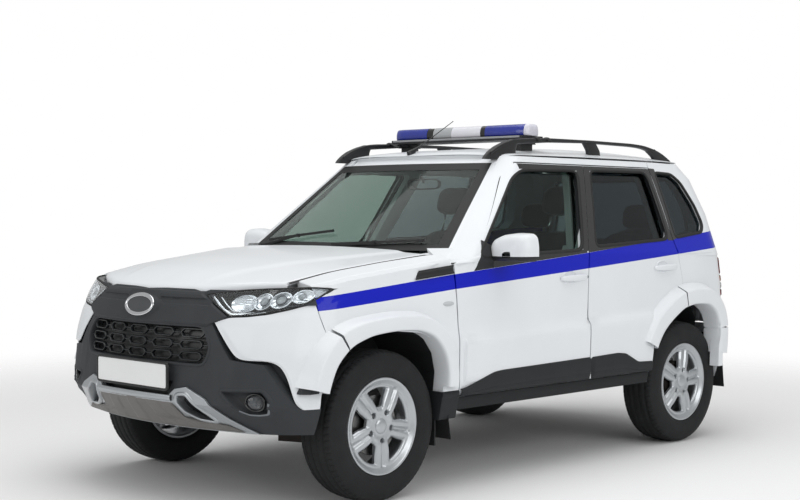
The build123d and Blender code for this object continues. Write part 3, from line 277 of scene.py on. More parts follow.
# %% Reading the skin
def read_table(table, z_values, u, z):
    """Position (x, y) at outline number u and height z, between table entries by a cubic through four
    of them."""
    u, z = np.broadcast_arrays(np.asarray(u, float), np.asarray(z, float))
    fz = np.clip((z - z_values[0]) / (z_values[1] - z_values[0]), 0, len(z_values) - 1.001)
    fu = np.clip(u, 0, table.shape[1] - 1.001)
    iz, iu = fz.astype(int), fu.astype(int)
    tz, tu = (fz - iz)[..., None], (fu - iu)[..., None]

    def weights(t):
        return ((-t + 2 * t ** 2 - t ** 3) / 2, (2 - 5 * t ** 2 + 3 * t ** 3) / 2,
                (t + 4 * t ** 2 - 3 * t ** 3) / 2, (t ** 3 - t ** 2) / 2)

    out = 0
    for a, wa in enumerate(weights(tz)):
        za = np.clip(iz + a - 1, 0, table.shape[0] - 1)
        for b, wb in enumerate(weights(tu)):
            out = out + wa * wb * table[za, np.clip(iu + b - 1, 0, table.shape[1] - 1)]
    return out


def find_u(table, z_values, column, wanted, z, low, high):
    """The outline number at which x (column 0) or y (column 1) has the wanted value, by halving the
    interval."""
    wanted, z = np.broadcast_arrays(np.asarray(wanted, float), np.asarray(z, float))
    a, b = np.full(wanted.shape, float(low)), np.full(wanted.shape, float(high))
    at_low, at_high = (read_table(table, z_values, u, z)[..., column] for u in (low, high))
    rising = at_high > at_low
    for _ in range(26):
        m = (a + b) / 2
        over = (read_table(table, z_values, m, z)[..., column] > wanted) == rising
        a, b = np.where(over, a, m), np.where(over, m, b)
    return (a + b) / 2


def lower_side_x(y, z):
    """Half width of the lower body at y and z."""
    return read_table(lower_xy, LOWER_Z, find_u(lower_xy, LOWER_Z, 1, y, z, 30, 470), z)[..., 0]


def upper_side_x(y, z):
    """Half width of the glasshouse at y and z."""
    return read_table(upper_xy, UPPER_Z, find_u(upper_xy, UPPER_Z, 1, y, z, 55, 330), z)[..., 0]


def side_x(y, z, out=0.0):
    """Half width of the whole side: lower body up to the belt, glasshouse above it, blended over 40 mm."""
    w = np.clip((np.asarray(z, float) - 1058) / 40, 0, 1)
    w = w * w * (3 - 2 * w)
    return lower_side_x(y, np.minimum(z, 1195)) * (1 - w) + upper_side_x(y, np.maximum(z, 1055)) * w + out


# Bonnet and wing tops. Columns: y, middle z, bonnet line x, bonnet line z, z at x 880
DECK = np.array([(-800, 880, 600, 855, 800), (-665, 958, 640, 930, 880), (-560, 1008, 660, 968, 915),
                 (-435, 1042, 676, 992, 950), (-200, 1076, 692, 1036, 986), (100, 1101, 708, 1072, 1016),
                 (400, 1124, 740, 1106, 1040), (620, 1138, 765, 1122, 1050)], float)
deck_y = np.arange(-800, 621, 10.0)
deck_rows = np.stack([np.interp(deck_y, DECK[:, 0], DECK[:, k]) for k in range(1, 5)], -1)
deck_rows = gauss_smooth(deck_rows, 4.0, 0)


def deck_z(x, y):
    """Height of the bonnet and wing tops: a parabola between the bonnet lines, a straight slope
    outside them."""
    mid, xl, zl, side = (np.interp(y, deck_y, deck_rows[:, k]) for k in range(4))
    x = np.abs(x)
    return np.where(x < xl, mid - (mid - zl) * (x / xl) ** 2, zl - (zl - side) * (x - xl) / (880 - xl))


def deck_x(y, z):
    """Where the wing top's slope reaches height z."""
    xl, zl, side = (np.interp(y, deck_y, deck_rows[:, k]) for k in (1, 2, 3))
    return xl + (zl - z) / (zl - side) * (880 - xl)


def soft_min(a, b, k):
    """The smaller of two values with a rounded change-over: -k log(exp(-a/k) + exp(-b/k))."""
    m = np.minimum(a, b)
    return m - k * np.log(np.exp(-(a - m) / k) + np.exp(-(b - m) / k))


def wing_x(y, z, out=0.0):
    """Half width of a front wing: the side's skin under the sloping top, rounded over the shoulder."""
    return soft_min(lower_side_x(y, np.minimum(z, 1195)), deck_x(y, z), 7.0) + out


# %% [markdown]
# ## Patches between outlines
# A panel is known by its outline. A Coons patch fills four boundary lines: each inside
# point is the sum of the two straight blends minus the blend of the corners. A ring patch
# fills the band between an outer outline and a window. Both work on flat (y, z) maps,
# and the skin function then lifts the map to the real surface.

# %% Patches
def along(points, n):
    """n points spaced evenly by length along a polyline."""
    p = np.asarray(points, float)
    d = np.r_[0, np.cumsum(np.linalg.norm(np.diff(p, axis=0), axis=1))]
    s = np.linspace(0, d[-1], n)
    return np.stack([np.interp(s, d, p[:, k]) for k in range(p.shape[1])], -1)


def eased(points, n, radius=2.0):
    """As along, but with rounded corners: a short Gaussian average along the line, ends kept."""
    p = along(points, n)
    q = gauss_smooth(p, radius, 0)
    q[0], q[-1] = p[0], p[-1]
    return q


def coons(bottom, top, left, right):
    """(1-v) bottom + v top + (1-u) left + u right - corner blend, for lines with matching ends."""
    u = np.linspace(0, 1, len(bottom))[None, :, None]
    v = np.linspace(0, 1, len(left))[:, None, None]
    corners = ((1 - u) * (1 - v) * bottom[0] + u * (1 - v) * bottom[-1] + (1 - u) * v * top[0]
               + u * v * top[-1])
    return (1 - v) * bottom[None] + v * top[None] + (1 - u) * left[:, None] + u * right[:, None] - corners


def patch(bottom, top, rows):
    """A Coons patch whose two ends are straight."""
    return coons(bottom, top, along([bottom[0], top[0]], rows), along([bottom[-1], top[-1]], rows))


def ring_map(outer, inner, per_edge, across, power=1.0):
    """Bands of points from a closed outer outline to a closed inner one with as many corners."""
    outer, inner = np.asarray(outer, float), np.asarray(inner, float)
    t = np.arange(per_edge) / per_edge

    def fill(p):
        return (p[:, None] * (1 - t)[None, :, None]
                + np.roll(p, -1, 0)[:, None] * t[None, :, None]).reshape(-1, p.shape[1])

    a, b = fill(outer), fill(inner)
    s = (np.linspace(0, 1, across) ** power)[:, None, None]
    return a[None] * (1 - s) + b[None] * s


def lift_side(flat, surface, out=0.0):
    """(y, z) map to points (x, y, z) on a side surface."""
    y, z = flat[..., 0], flat[..., 1]
    return np.stack([surface(y, z) + out, y, z], -1)


def side_sheet(name, grid, material, body, side, **options):
    """A left-hand grid put on either side of the car: on the right x is negated."""
    g = grid.copy()
    g[..., 0] *= side
    return sheet(name, g, material, body, (side, 0, 0), **options)


# %% [markdown]
# ## Camera, floor and light
# A studio picture of a car is taken from far away with a long lens, so that its lines
# stay nearly parallel. The camera is described by where it stands and which way it looks;
# its three axes are then worked out with cross products.
# Big soft lamps matter more than bright ones: glossy paint shows the lamps themselves.

# %% Camera, floor and lamps
scene = bpy.context.scene
scene.view_settings.view_transform = "Standard"
CAMERA_PLACE = (5.2735, -5.8115, 1.3041)
YAW, PITCH, ROLL = (math.radians(a) for a in (44.220, 2.534, 0.278))


def camera_matrix():
    """Columns: right, up, back, place. Forward = (-sin yaw cos pitch, cos yaw cos pitch, -sin pitch),
    then roll."""
    forward = np.array([-math.sin(YAW) * math.cos(PITCH), math.cos(YAW) * math.cos(PITCH), -math.sin(PITCH)])
    right = np.cross(forward, (0, 0, 1))
    right /= np.linalg.norm(right)
    up = np.cross(right, forward)
    c, s = math.cos(ROLL), math.sin(ROLL)
    matrix = np.eye(4)
    matrix[:3, 0], matrix[:3, 1] = c * right + s * up, c * up - s * right
    matrix[:3, 2], matrix[:3, 3] = -forward, CAMERA_PLACE
    return matrix


camera_data = bpy.data.cameras.new("camera")
camera_data.lens, camera_data.sensor_width = 64.226, 36.0
camera_data.shift_x, camera_data.shift_y = 0.01334, 0.0309
camera = bpy.data.objects.new("camera", camera_data)
scene.collection.objects.link(camera)
camera.matrix_world = Matrix(camera_matrix().tolist())
scene.camera = camera


def linear(hex_colour):
    """An sRGB hex colour as linear red, green, blue and alpha 1."""
    c = np.array([int(hex_colour[k:k + 2], 16) for k in (1, 3, 5)]) / 255
    c = np.where(c <= 0.04045, c / 12.92, ((c + 0.055) / 1.055) ** 2.4)
    return (*c.tolist(), 1.0)


def add(tree, kind, links=None, values=None, **settings):
    """One node: its settings, its plain input values, and links from (node, output) pairs to its inputs."""
    made = tree.nodes.new(kind)
    for key, value in settings.items():
        setattr(made, key, value)
    for key, value in (values or {}).items():
        made.inputs[key].default_value = value
    for key, (source, output) in (links or {}).items():
        tree.links.new(source.outputs[output], made.inputs[key])
    return made


def lamp(name, place, target, size, power, colour="#FFFFFF"):
    """A square soft lamp that looks at a point; power in watts."""
    data = bpy.data.lights.new(name, "AREA")
    data.shape, data.size, data.size_y, data.energy = "RECTANGLE", size[0], size[1], power
    data.color = linear(colour)[:3]
    made = bpy.data.objects.new(name, data)
    scene.collection.objects.link(made)
    back = np.array(place, float) - np.array(target, float)
    back /= np.linalg.norm(back)
    right = np.cross((0, 0, 1), back)
    right = np.array((1.0, 0, 0)) if np.linalg.norm(right) < 1e-6 else right / np.linalg.norm(right)
    matrix = np.eye(4)
    matrix[:3, 0], matrix[:3, 1], matrix[:3, 2], matrix[:3, 3] = right, np.cross(back, right), back, place
    made.matrix_world = Matrix(matrix.tolist())
    return made


lamp("sky_panel", (0.5, -0.5, 6.5), (0, 0, 0), (7, 8), 250)
lamp("side_panel", (7.5, -1.0, 3.2), (0, 0.3, 0.9), (7, 3.0), 135)
lamp("front_panel", (-1.5, -8.5, 3.0), (0, -1.2, 0.8), (6, 2.6), 90)

world = bpy.data.worlds.new("studio")
scene.world = world
world.use_nodes = True
tree = world.node_tree
tree.nodes.clear()
path = add(tree, "ShaderNodeLightPath")
seen = add(tree, "ShaderNodeMath", {0: (path, "Is Camera Ray"), 1: (path, "Is Transmission Ray")},
           operation="MAXIMUM")
bright = add(tree, "ShaderNodeMapRange", {"Value": (seen, 0)}, {"To Min": 0.5, "To Max": 1.0})
sky = add(tree, "ShaderNodeBackground", {"Strength": (bright, 0)}, {"Color": (1, 1, 1, 1)})
add(tree, "ShaderNodeOutputWorld", {"Surface": (sky, 0)})


def floor_material():
    """Pale studio floor that fades away with distance, so that no horizon shows."""
    material = bpy.data.materials.new("pale_floor")
    material.use_nodes = True
    tree = material.node_tree
    tree.nodes.clear()
    where = add(tree, "ShaderNodeTexCoord")
    distance = add(tree, "ShaderNodeVectorMath", {0: (where, "Object")}, operation="LENGTH")
    fade = add(tree, "ShaderNodeMapRange", {"Value": (distance, "Value")}, {"From Min": 2.6, "From Max": 6.5},
               interpolation_type="SMOOTHSTEP")
    paper = add(tree, "ShaderNodeBsdfDiffuse", values={"Color": linear("#F3F3F3")})
    clear = add(tree, "ShaderNodeBsdfTransparent")
    mix = add(tree, "ShaderNodeMixShader", {0: (fade, 0), 1: (paper, 0), 2: (clear, 0)})
    add(tree, "ShaderNodeOutputMaterial", {"Surface": (mix, 0)})
    return material


FLOOR_HALF = 12.0
floor = mesh_object("floor", np.array([(-FLOOR_HALF, -FLOOR_HALF, 0), (FLOOR_HALF, -FLOOR_HALF, 0),
                                       (FLOOR_HALF, FLOOR_HALF, 0), (-FLOOR_HALF, FLOOR_HALF, 0)]),
                    [(0, 1, 2, 3)], floor_material(), False)
print("camera at", CAMERA_PLACE)


# %% [markdown]
# ## Finishes
# Every material starts from what the real thing is. Car paint is a coloured layer under
# clear lacquer, so it gets a coat. Moulded plastic has a fine grain that scatters light.
# One function makes the shader with its plain numbers, and a second adds a small bump,
# because nearly every real surface has one. Patterns read Object coordinates in metres.


# %% Material tools
def shader(name, colour, roughness, metallic=0.0, **values):
    """A material of one Principled shader; further socket values are given by name with _ for spaces."""
    material = bpy.data.materials.new(name)
    material.use_nodes = True
    tree = material.node_tree
    tree.nodes.clear()
    surface = add(tree, "ShaderNodeBsdfPrincipled",
                  values={"Base Color": linear(colour), "Roughness": roughness, "Metallic": metallic})
    for key, value in values.items():
        surface.inputs[key.replace("_", " ")].default_value = value
    add(tree, "ShaderNodeOutputMaterial", {"Surface": (surface, 0)})
    return material, tree, surface


def grain(tree, surface, size_mm, depth_mm, texture="ShaderNodeTexNoise", stretch=(1, 1, 1), **settings):
    """Bump whose lumps are size_mm wide and depth_mm deep, in Object coordinates."""
    where = add(tree, "ShaderNodeTexCoord")
    turned = add(tree, "ShaderNodeMapping", {"Vector": (where, "Object")}, {"Scale": stretch})
    lumps = add(tree, texture, {"Vector": (turned, 0)}, {"Scale": 1000.0 / size_mm}, **settings)
    output = "Fac" if texture == "ShaderNodeTexNoise" else "Distance"
    bump = add(tree, "ShaderNodeBump", {"Height": (lumps, output)},
               {"Strength": 1.0, "Distance": depth_mm / 1000.0})
    tree.links.new(bump.outputs[0], surface.inputs["Normal"])
    return lumps, output


def mottle(tree, surface, colour_a, colour_b, size_mm):
    """Slow change between two colours over size_mm, as dust, fading or uneven pigment give."""
    where = add(tree, "ShaderNodeTexCoord")
    clouds = add(tree, "ShaderNodeTexNoise", {"Vector": (where, "Object")},
                 {"Scale": 1000.0 / size_mm, "Detail": 3.0})
    blend = add(tree, "ShaderNodeMix", {"Factor": (clouds, "Fac")}, data_type="RGBA")
    blend.inputs[6].default_value, blend.inputs[7].default_value = linear(colour_a), linear(colour_b)
    tree.links.new(blend.outputs[2], surface.inputs["Base Color"])
    return blend


# %% [markdown]
# ## Body paint with the belt stripe
# White two-pack enamel under clear lacquer. The blue belt is cut vinyl film laid on it,
# so it has the same gloss and a sharp edge. The band lies between two straight lines that
# bend once, just behind the front wheel; both are written in mm from the front axle line.

# %% Paint
STRIPE_BEND_Y = 467.0
STRIPE_BOTTOM = (943.0, 0.0777, 0.0683)      # height at the bend, slope ahead of it, slope behind it
STRIPE_TOP = (1012.0, 0.0912, 0.0797)
STRIPE_ENDS = (-430.0, 2990.0)


def line_height(tree, y, height, ahead, behind):
    """height + behind * d + (ahead - behind) * min(d, 0), where d is the distance behind the bend, in
    metres."""
    d = add(tree, "ShaderNodeMath", {0: (y, 0)}, {1: (STRIPE_BEND_Y + SHIFT) / 1000}, operation="SUBTRACT")
    low = add(tree, "ShaderNodeMath", {0: (d, 0)}, {1: 0.0}, operation="MINIMUM")
    base = add(tree, "ShaderNodeMath", {0: (d, 0)}, {1: behind, 2: height / 1000}, operation="MULTIPLY_ADD")
    return add(tree, "ShaderNodeMath", {0: (low, 0), 2: (base, 0)}, {1: ahead - behind},
               operation="MULTIPLY_ADD")


def body_paint(name, stripe, inside=None, inside_x=0.0):
    """White lacquered enamel; with a stripe where asked, and a second colour nearer the middle than
    inside_x mm."""
    material, tree, surface = shader(name, "#E6EAED", 0.32, Coat_Weight=0.3, Coat_Roughness=0.03,
                                     Specular_IOR_Level=0.14)
    white = mottle(tree, surface, "#E2E6EA", "#EAEDEF", 240.0)
    last = white
    where = add(tree, "ShaderNodeTexCoord")
    axes = add(tree, "ShaderNodeSeparateXYZ", {0: (where, "Object")})
    out = add(tree, "ShaderNodeMath", {0: (axes, "X")}, operation="ABSOLUTE")
    if stripe:
        y = add(tree, "ShaderNodeMath", {0: (axes, "Y")}, {1: 0.0}, operation="ADD")
        bottom, top = line_height(tree, y, *STRIPE_BOTTOM), line_height(tree, y, *STRIPE_TOP)
        tests = [add(tree, "ShaderNodeMath", {0: (axes, "Z"), 1: (bottom, 0)}, operation="GREATER_THAN"),
                 add(tree, "ShaderNodeMath", {0: (axes, "Z"), 1: (top, 0)}, operation="LESS_THAN"),
                 add(tree, "ShaderNodeMath", {0: (out, 0)}, {1: 0.56}, operation="GREATER_THAN"),
                 add(tree, "ShaderNodeMath", {0: (y, 0)}, {1: (STRIPE_ENDS[0] + SHIFT) / 1000},
                     operation="GREATER_THAN"),
                 add(tree, "ShaderNodeMath", {0: (y, 0)}, {1: (STRIPE_ENDS[1] + SHIFT) / 1000},
                     operation="LESS_THAN")]
        mask = tests[0]
        for test in tests[1:]:
            mask = add(tree, "ShaderNodeMath", {0: (mask, 0), 1: (test, 0)}, operation="MULTIPLY")
        film = add(tree, "ShaderNodeMix", {"Factor": (mask, 0), 6: (last, 2)}, data_type="RGBA")
        film.inputs[7].default_value = linear("#0014B8")
        last = film
    if inside:
        near = add(tree, "ShaderNodeMath", {0: (out, 0)}, {1: inside_x / 1000}, operation="LESS_THAN")
        lined = add(tree, "ShaderNodeMix", {"Factor": (near, 0), 6: (last, 2)}, data_type="RGBA")
        lined.inputs[7].default_value = linear(inside)
        last = lined
        gloss = add(tree, "ShaderNodeMapRange", {"Value": (near, 0)}, {"To Min": 0.32, "To Max": 0.7})
        tree.links.new(gloss.outputs[0], surface.inputs["Roughness"])
    tree.links.new(last.outputs[2], surface.inputs["Base Color"])
    grain(tree, surface, 6.0, 0.004)
    return material


PAINT = body_paint("lacquered_white_enamel", True)
PAINT_DOOR = body_paint("lacquered_enamel_with_trim_inside", True, "#2B2D30", 772.0)
PAINT_PLAIN = body_paint("lacquered_white_enamel_plain", False)
print("paint ready")


# %% [markdown]
# ## Plastics, rubber and glass
# Bumpers and sills are grained polypropylene coloured right through: dark grey, dull, with
# a leather-like grain about a millimetre wide. It is drawn at two to three millimetres,
# because a finer one would vanish in a picture of a whole car.
# Toughened glass is faintly green; privacy glass behind the front doors is darker.

# %% Plastics, rubber, glass
def moulded(name, colour_a, colour_b, roughness, grain_mm, depth_mm, **values):
    """Plastic moulded in a tool: two near shades, and grain from the tool's etched face."""
    material, tree, surface = shader(name, colour_a, roughness, **values)
    mottle(tree, surface, colour_a, colour_b, 90.0)
    grain(tree, surface, grain_mm, depth_mm, "ShaderNodeTexVoronoi")
    return material


GRAINED = moulded("grained_polypropylene", "#303336", "#3A3D40", 0.60, 2.6, 0.10, Specular_IOR_Level=0.3)
# painted shade: the side cladding is the bumper's plastic made darker, for the shade along the lower side
CLADDING_PAINTED_SHADE = moulded("side_cladding_polypropylene_painted_shade", "#1E2123", "#27292B", 0.60, 2.6, 0.10,
                           Specular_IOR_Level=0.3)
# painted shade: the sill is darker again, for the shade where it tucks under the side
SILL_PAINTED_SHADE = moulded("sill_polypropylene_painted_shade", "#191B1C", "#202224", 0.65, 3.0, 0.08,
                       Specular_IOR_Level=0.3)
DARK_TRIM = moulded("grained_trim_plastic", "#1B1C1E", "#232527", 0.62, 2.2, 0.08)
GLOSS_BLACK = moulded("gloss_black_acrylic", "#0B0C0D", "#101113", 0.14, 8.0, 0.004, Coat_Weight=0.6,
                      Coat_Roughness=0.04)
SATIN_BLACK = moulded("satin_black_powder_coat", "#131416", "#1A1B1D", 0.36, 3.0, 0.02)
PALE_PLASTIC = moulded("pale_grey_abs", "#B9BDC0", "#C4C8CA", 0.42, 3.0, 0.02)
GREY_PLASTIC = moulded("mid_grey_abs", "#6B6F73", "#777B7F", 0.45, 3.0, 0.03)
WHITE_PLATE = moulded("white_enamelled_plate", "#F0F1F1", "#E8E9E9", 0.35, 5.0, 0.006)


def painted_metal(name, colour_a, colour_b, roughness, flake_mm=1.2):
    """Silver lacquer: aluminium flake in clear lacquer, seen as a fine sparkle in its roughness."""
    material, tree, surface = shader(name, colour_a, roughness, 0.85, Coat_Weight=0.5, Coat_Roughness=0.08)
    mottle(tree, surface, colour_a, colour_b, 60.0)
    lumps, output = grain(tree, surface, flake_mm, 0.003)
    spark = add(tree, "ShaderNodeMapRange", {"Value": (lumps, output)},
                {"From Min": 0.3, "From Max": 0.7, "To Min": roughness - 0.05, "To Max": roughness + 0.07})
    tree.links.new(spark.outputs[0], surface.inputs["Roughness"])
    return material


SILVER = painted_metal("silver_lacquered_plastic", "#A9ADB0", "#B4B8BB", 0.38)
ALLOY = painted_metal("silver_lacquered_alloy", "#B3B7BA", "#BEC2C5", 0.30)
DARK_ALLOY = painted_metal("unmachined_alloy", "#4A4D50", "#55585B", 0.50)


def bare_metal(name, colour, roughness, grain_mm, depth_mm, stretch=(1, 1, 1), colour_b=None):
    """Bare or coated metal: plated, cast, rolled or turned, told apart by its roughness and its grain."""
    material, tree, surface = shader(name, colour, roughness, 1.0)
    mottle(tree, surface, colour, colour_b or colour, 40.0)
    grain(tree, surface, grain_mm, depth_mm, stretch=stretch)
    return material


CHROME = bare_metal("vacuum_plated_chrome", "#D8DADC", 0.08, 12.0, 0.01)
DISC_STEEL = bare_metal("turned_iron_disc", "#8A8C8E", 0.36, 2.5, 0.02, (6, 1, 1), "#77736E")
CAST_IRON = bare_metal("sand_cast_iron", "#3C3A38", 0.72, 3.0, 0.25, colour_b="#4A4440")
ENGINE_METAL = bare_metal("cast_aluminium", "#83868A", 0.55, 4.0, 0.25, colour_b="#6E7174")
EXHAUST_STEEL = bare_metal("aluminised_exhaust_steel", "#7C7A76", 0.46, 6.0, 0.08, colour_b="#6A5F55")


def chassis_coat():
    """Black dip-coated steel: thick dull paint with slow waves."""
    material, tree, surface = shader("black_dip_coated_steel", "#141516", 0.5)
    mottle(tree, surface, "#121314", "#232220", 120.0)
    grain(tree, surface, 9.0, 0.12)
    return material


CHASSIS = chassis_coat()


def rubber():
    """Tyre rubber: black with a little road dust, dull, with a fine bump."""
    material, tree, surface = shader("vulcanised_tyre_rubber", "#17181A", 0.78, Specular_IOR_Level=0.35)
    mottle(tree, surface, "#141517", "#242526", 70.0)
    grain(tree, surface, 3.0, 0.12)
    return material


RUBBER = rubber()
SEAL = moulded("rubber_seal", "#0D0E0F", "#131415", 0.6, 4.0, 0.02)


def glass(name, colour, roughness=0.0, ior=1.45):
    """Glass or clear plastic of real thickness: light passes and picks up the tint."""
    material, tree, surface = shader(name, colour, roughness, IOR=ior, Transmission_Weight=1.0)
    mottle(tree, surface, colour, colour, 300.0)
    return material


CLEAR_GLASS = glass("laminated_green_tint_glass", "#B3C2BB", ior=1.2)
SIDE_GLASS = glass("toughened_green_tint_glass", "#98A8A2", ior=1.22)
PRIVACY_GLASS = glass("privacy_glass", "#5B666A", ior=1.3)
LAMP_CLEAR = glass("clear_polycarbonate", "#F2F6F8", ior=1.50)
RED_LENS = glass("red_acrylic_lens", "#8C0A12", 0.05, 1.49)
AMBER_LENS = glass("amber_acrylic_lens", "#C4661C", 0.05, 1.49)
print("materials", len(bpy.data.materials))

# the record's material slot that each finish belongs to
SLOT_OF = {m.name: slot for slot, made in {
    "body_paint": (PAINT, PAINT_DOOR, PAINT_PLAIN),
    "clear_glass": (CLEAR_GLASS, SIDE_GLASS),
    "dark_glass": (PRIVACY_GLASS,),
    "lamp_lens": (LAMP_CLEAR,),
    "tail_lens": (RED_LENS, AMBER_LENS),
    "grey_plastic": (GRAINED, CLADDING_PAINTED_SHADE, SILL_PAINTED_SHADE, GREY_PLASTIC),
    "black_plastic": (GLOSS_BLACK, SATIN_BLACK, SEAL),
    "silver_plastic": (SILVER, PALE_PLASTIC, CHROME),
    "plate_white": (WHITE_PLATE,),
    "tyre_rubber": (RUBBER,),
    "alloy": (ALLOY, DARK_ALLOY),
    "chassis_paint": (CHASSIS,),
    "casting": (CAST_IRON, DISC_STEEL),
    "engine_metal": (ENGINE_METAL,),
    "exhaust_steel": (EXHAUST_STEEL,),
    "trim_plastic": (DARK_TRIM,),}.items()
           for m in made}


# %% [markdown]
# ## Solids that only need their edges eased
# Castings, seats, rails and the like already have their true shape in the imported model.
# Real edges are never knife-sharp: a small radius catches a line of light. A copy of the
# solid has its loose triangles welded, its flat faces joined, and its edges rounded by a
# Bevel modifier; then the copy is shown instead of the solid.

# %% Eased copies of solids
def coordinates(mesh):
    """A mesh's points as an (n, 3) array of metres."""
    p = np.empty(len(mesh.vertices) * 3, np.float32)
    mesh.vertices.foreach_get("co", p)
    return p.reshape(-1, 3)


def mark_sharp(built, angle):
    """Edges that turn more than the angle, or have no second face, break the smooth shading."""
    limit = math.radians(angle)
    for edge in built.edges:
        edge.smooth = len(edge.link_faces) == 2 and edge.calc_face_angle(0.0) < limit


PRESSED = {"door_front_left", "door_front_right", "door_rear_left", "door_rear_right", "side_frame_left",
           "side_frame_right", "front_wing_left", "front_wing_right", "bumper_corners"}


def press_flush(mesh):
    """Points that stand proud of the body's skin are set back to just under it, because modelled trim
    goes there."""
    p = coordinates(mesh)
    y, z = p[:, 1] * 1000 - SHIFT, p[:, 2] * 1000
    skin = side_x(np.clip(y, -320, 2700), np.clip(z, 345, 1590)) - 0.5
    middle = (y > -320) & (y < 2700)
    p[:, 0] = np.where(middle, np.clip(p[:, 0] * 1000, -skin, skin), p[:, 0] * 1000) / 1000
    mesh.vertices.foreach_set("co", p.ravel())
    mesh.update()


TUCKED = {"bonnet_panel": (0.95, 26.0, -9.0), "bumper_corners": (0.955, 26.0, 0.0),
          "roof_panel": (0.99, 8.0, -6.0)}


def tuck(mesh, narrower, back, down):
    """A copy that lies wholly under a modelled skin is drawn in a little, so that nothing of it shows
    at the edges."""
    p = coordinates(mesh)
    p[:, 0] *= narrower
    p[:, 1] += np.where(p[:, 1] < p[:, 1].mean(), back, -back) / 1000
    p[:, 2] += down / 1000
    mesh.vertices.foreach_set("co", p.ravel())
    mesh.update()


def eased_copy(node, material, bevel):
    """Weld, smooth by angle, bevel. The new piece stands for the node."""
    mesh = bpy.data.meshes.new(node + "_eased")
    built = bmesh.new()
    built.from_mesh(NODES[node].data)
    bmesh.ops.remove_doubles(built, verts=built.verts, dist=2e-5)
    bmesh.ops.dissolve_limit(built, angle_limit=math.radians(1.0), verts=built.verts, edges=built.edges)
    for face in built.faces:
        face.smooth = True
    mark_sharp(built, 32.0)
    built.to_mesh(mesh)
    built.free()
    if node in PRESSED:
        press_flush(mesh)
    if node in TUCKED:
        tuck(mesh, *TUCKED[node])
    mesh.materials.append(material)
    piece = bpy.data.objects.new(node + "_eased", mesh)
    bpy.context.scene.collection.objects.link(piece)
    if bevel:
        edge = piece.modifiers.new("edge", "BEVEL")
        edge.width, edge.segments, edge.limit_method = bevel / 1000.0, 2, "ANGLE"
        edge.angle_limit, edge.harden_normals, edge.miter_outer = math.radians(40), True, "MITER_ARC"
        edge.use_clamp_overlap = True
    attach(piece, BODY_OF[node])
    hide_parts(node)
    return piece


BODY_OF = {node: body for body, nodes in frame["record"]["behaviour"]["bodies"].items() for node in nodes}


EASED = [
    # node, material, edge radius in mm
    ("front_bumper", GRAINED, 3.0), ("rear_bumper", PAINT_PLAIN, 3.0), ("grille", GLOSS_BLACK, 1.5),
         ("skid_plate", SILVER, 2.0),
    ("cowl", DARK_TRIM, 2.0), ("wipers", SATIN_BLACK, 1.5), ("bumper_corners", GRAINED, 3.0),
         ("roof_panel", PAINT_PLAIN, 6.0),
    ("bonnet_panel", PAINT_PLAIN, 3.0), ("front_wing_left", PAINT, 3.0), ("front_wing_right", PAINT, 3.0),
    ("side_frame_left", PAINT, 1.5), ("side_frame_right", PAINT, 1.5), ("tailgate_panel", PAINT_PLAIN, 2.0),
    ("roof_rails", SATIN_BLACK, 5.0), ("light_bar_base", SATIN_BLACK, 3.0), ("antenna", SATIN_BLACK, 0.5),
    ("number_plates", WHITE_PLATE, 0.8), ("fog_lamps", DARK_TRIM, 1.0), ("headlamps", GLOSS_BLACK, 1.0),
    ("tail_lamps", RED_LENS, 2.0), ("mirror_left", PAINT_PLAIN, 12.0), ("mirror_right", PAINT_PLAIN, 12.0),
    ("windscreen", CLEAR_GLASS, 0.0), ("glass_front_left", SIDE_GLASS, 0.0),
         ("glass_front_right", SIDE_GLASS, 0.0),
    ("glass_rear_left", PRIVACY_GLASS, 0.0), ("glass_rear_right", PRIVACY_GLASS, 0.0),
         ("quarter_glass", PRIVACY_GLASS, 0.0),
    ("tailgate_glass", PRIVACY_GLASS, 0.0), ("dashboard", DARK_TRIM, 8.0), ("front_seats", DARK_TRIM, 14.0),
    ("rear_bench", DARK_TRIM, 14.0), ("steering_wheel", DARK_TRIM, 3.0), ("floor_pan", CHASSIS, 1.0),
    ("arch_liners", DARK_TRIM, 1.0), ("chassis_frame", CHASSIS, 3.0), ("engine", ENGINE_METAL, 8.0),
    ("front_axle", CAST_IRON, 3.0), ("rear_axle", CAST_IRON, 3.0), ("knuckle_left", DISC_STEEL, 1.0),
    ("knuckle_right", DISC_STEEL, 1.0), ("exhaust", EXHAUST_STEEL, 1.0), ("spare_carrier", CHASSIS, 3.0),
    ("door_front_left", PAINT_DOOR, 2.0), ("door_front_right", PAINT_DOOR, 2.0),
         ("door_rear_left", PAINT_DOOR, 2.0),
    ("door_rear_right", PAINT_DOOR, 2.0), ("light_bar_lenses", PALE_PLASTIC, 4.0),
]
for wheel in ("front_left", "front_right", "rear_left", "rear_right", "spare"):
    EASED += [("tyre_" + wheel, RUBBER, 3.0), ("rim_" + wheel, ALLOY, 2.0)]


# %% [markdown]
# ## Tyres
# A tyre is one profile turned round an axle. The tread is cut into that profile by a
# second function: four grooves run all the way round, and short sipes cross the shoulders.
# Modelling the tread as height on a grid keeps it one closed skin, as the real mould does.

# %% Turned shapes
def turned_grid(profile, count, start=0.0):
    """Profile points (x, r) carried round the X axis: (x, r cos a, r sin a), count steps of angle a."""
    a = start + angles(count)[None, :]
    x, r = profile[:, 0, None], profile[:, 1, None]
    return np.stack(np.broadcast_arrays(x, r * np.cos(a), r * np.sin(a)), -1)


def rounded(points, n, radius, closed=False):
    """A polyline resampled to n points and softened by a short Gaussian average, round the join if closed."""
    if closed:
        p = np.asarray(points, float)
        p = along(np.concatenate([p, p[:1]]), n + 1)[:-1]
        k = int(3 * radius) + 1
        wide = np.concatenate([p[-k:], p, p[:k]])
        return gauss_smooth(wide, radius, 0)[k:-k]
    return eased(points, n, radius)


TYRE_OUTLINE = [(-88, 218), (-101, 236), (-106.6, 262), (-106.2, 285), (-101, 306), (-94, 322), (-88, 333),
                (-74, 339), (-40, 342.6), (0, 343), (40, 342.6), (74, 339), (88, 333), (94, 322), (101, 306),
                (106.2, 285), (106.6, 262), (101, 236), (88, 218), (60, 214), (-60, 214)]


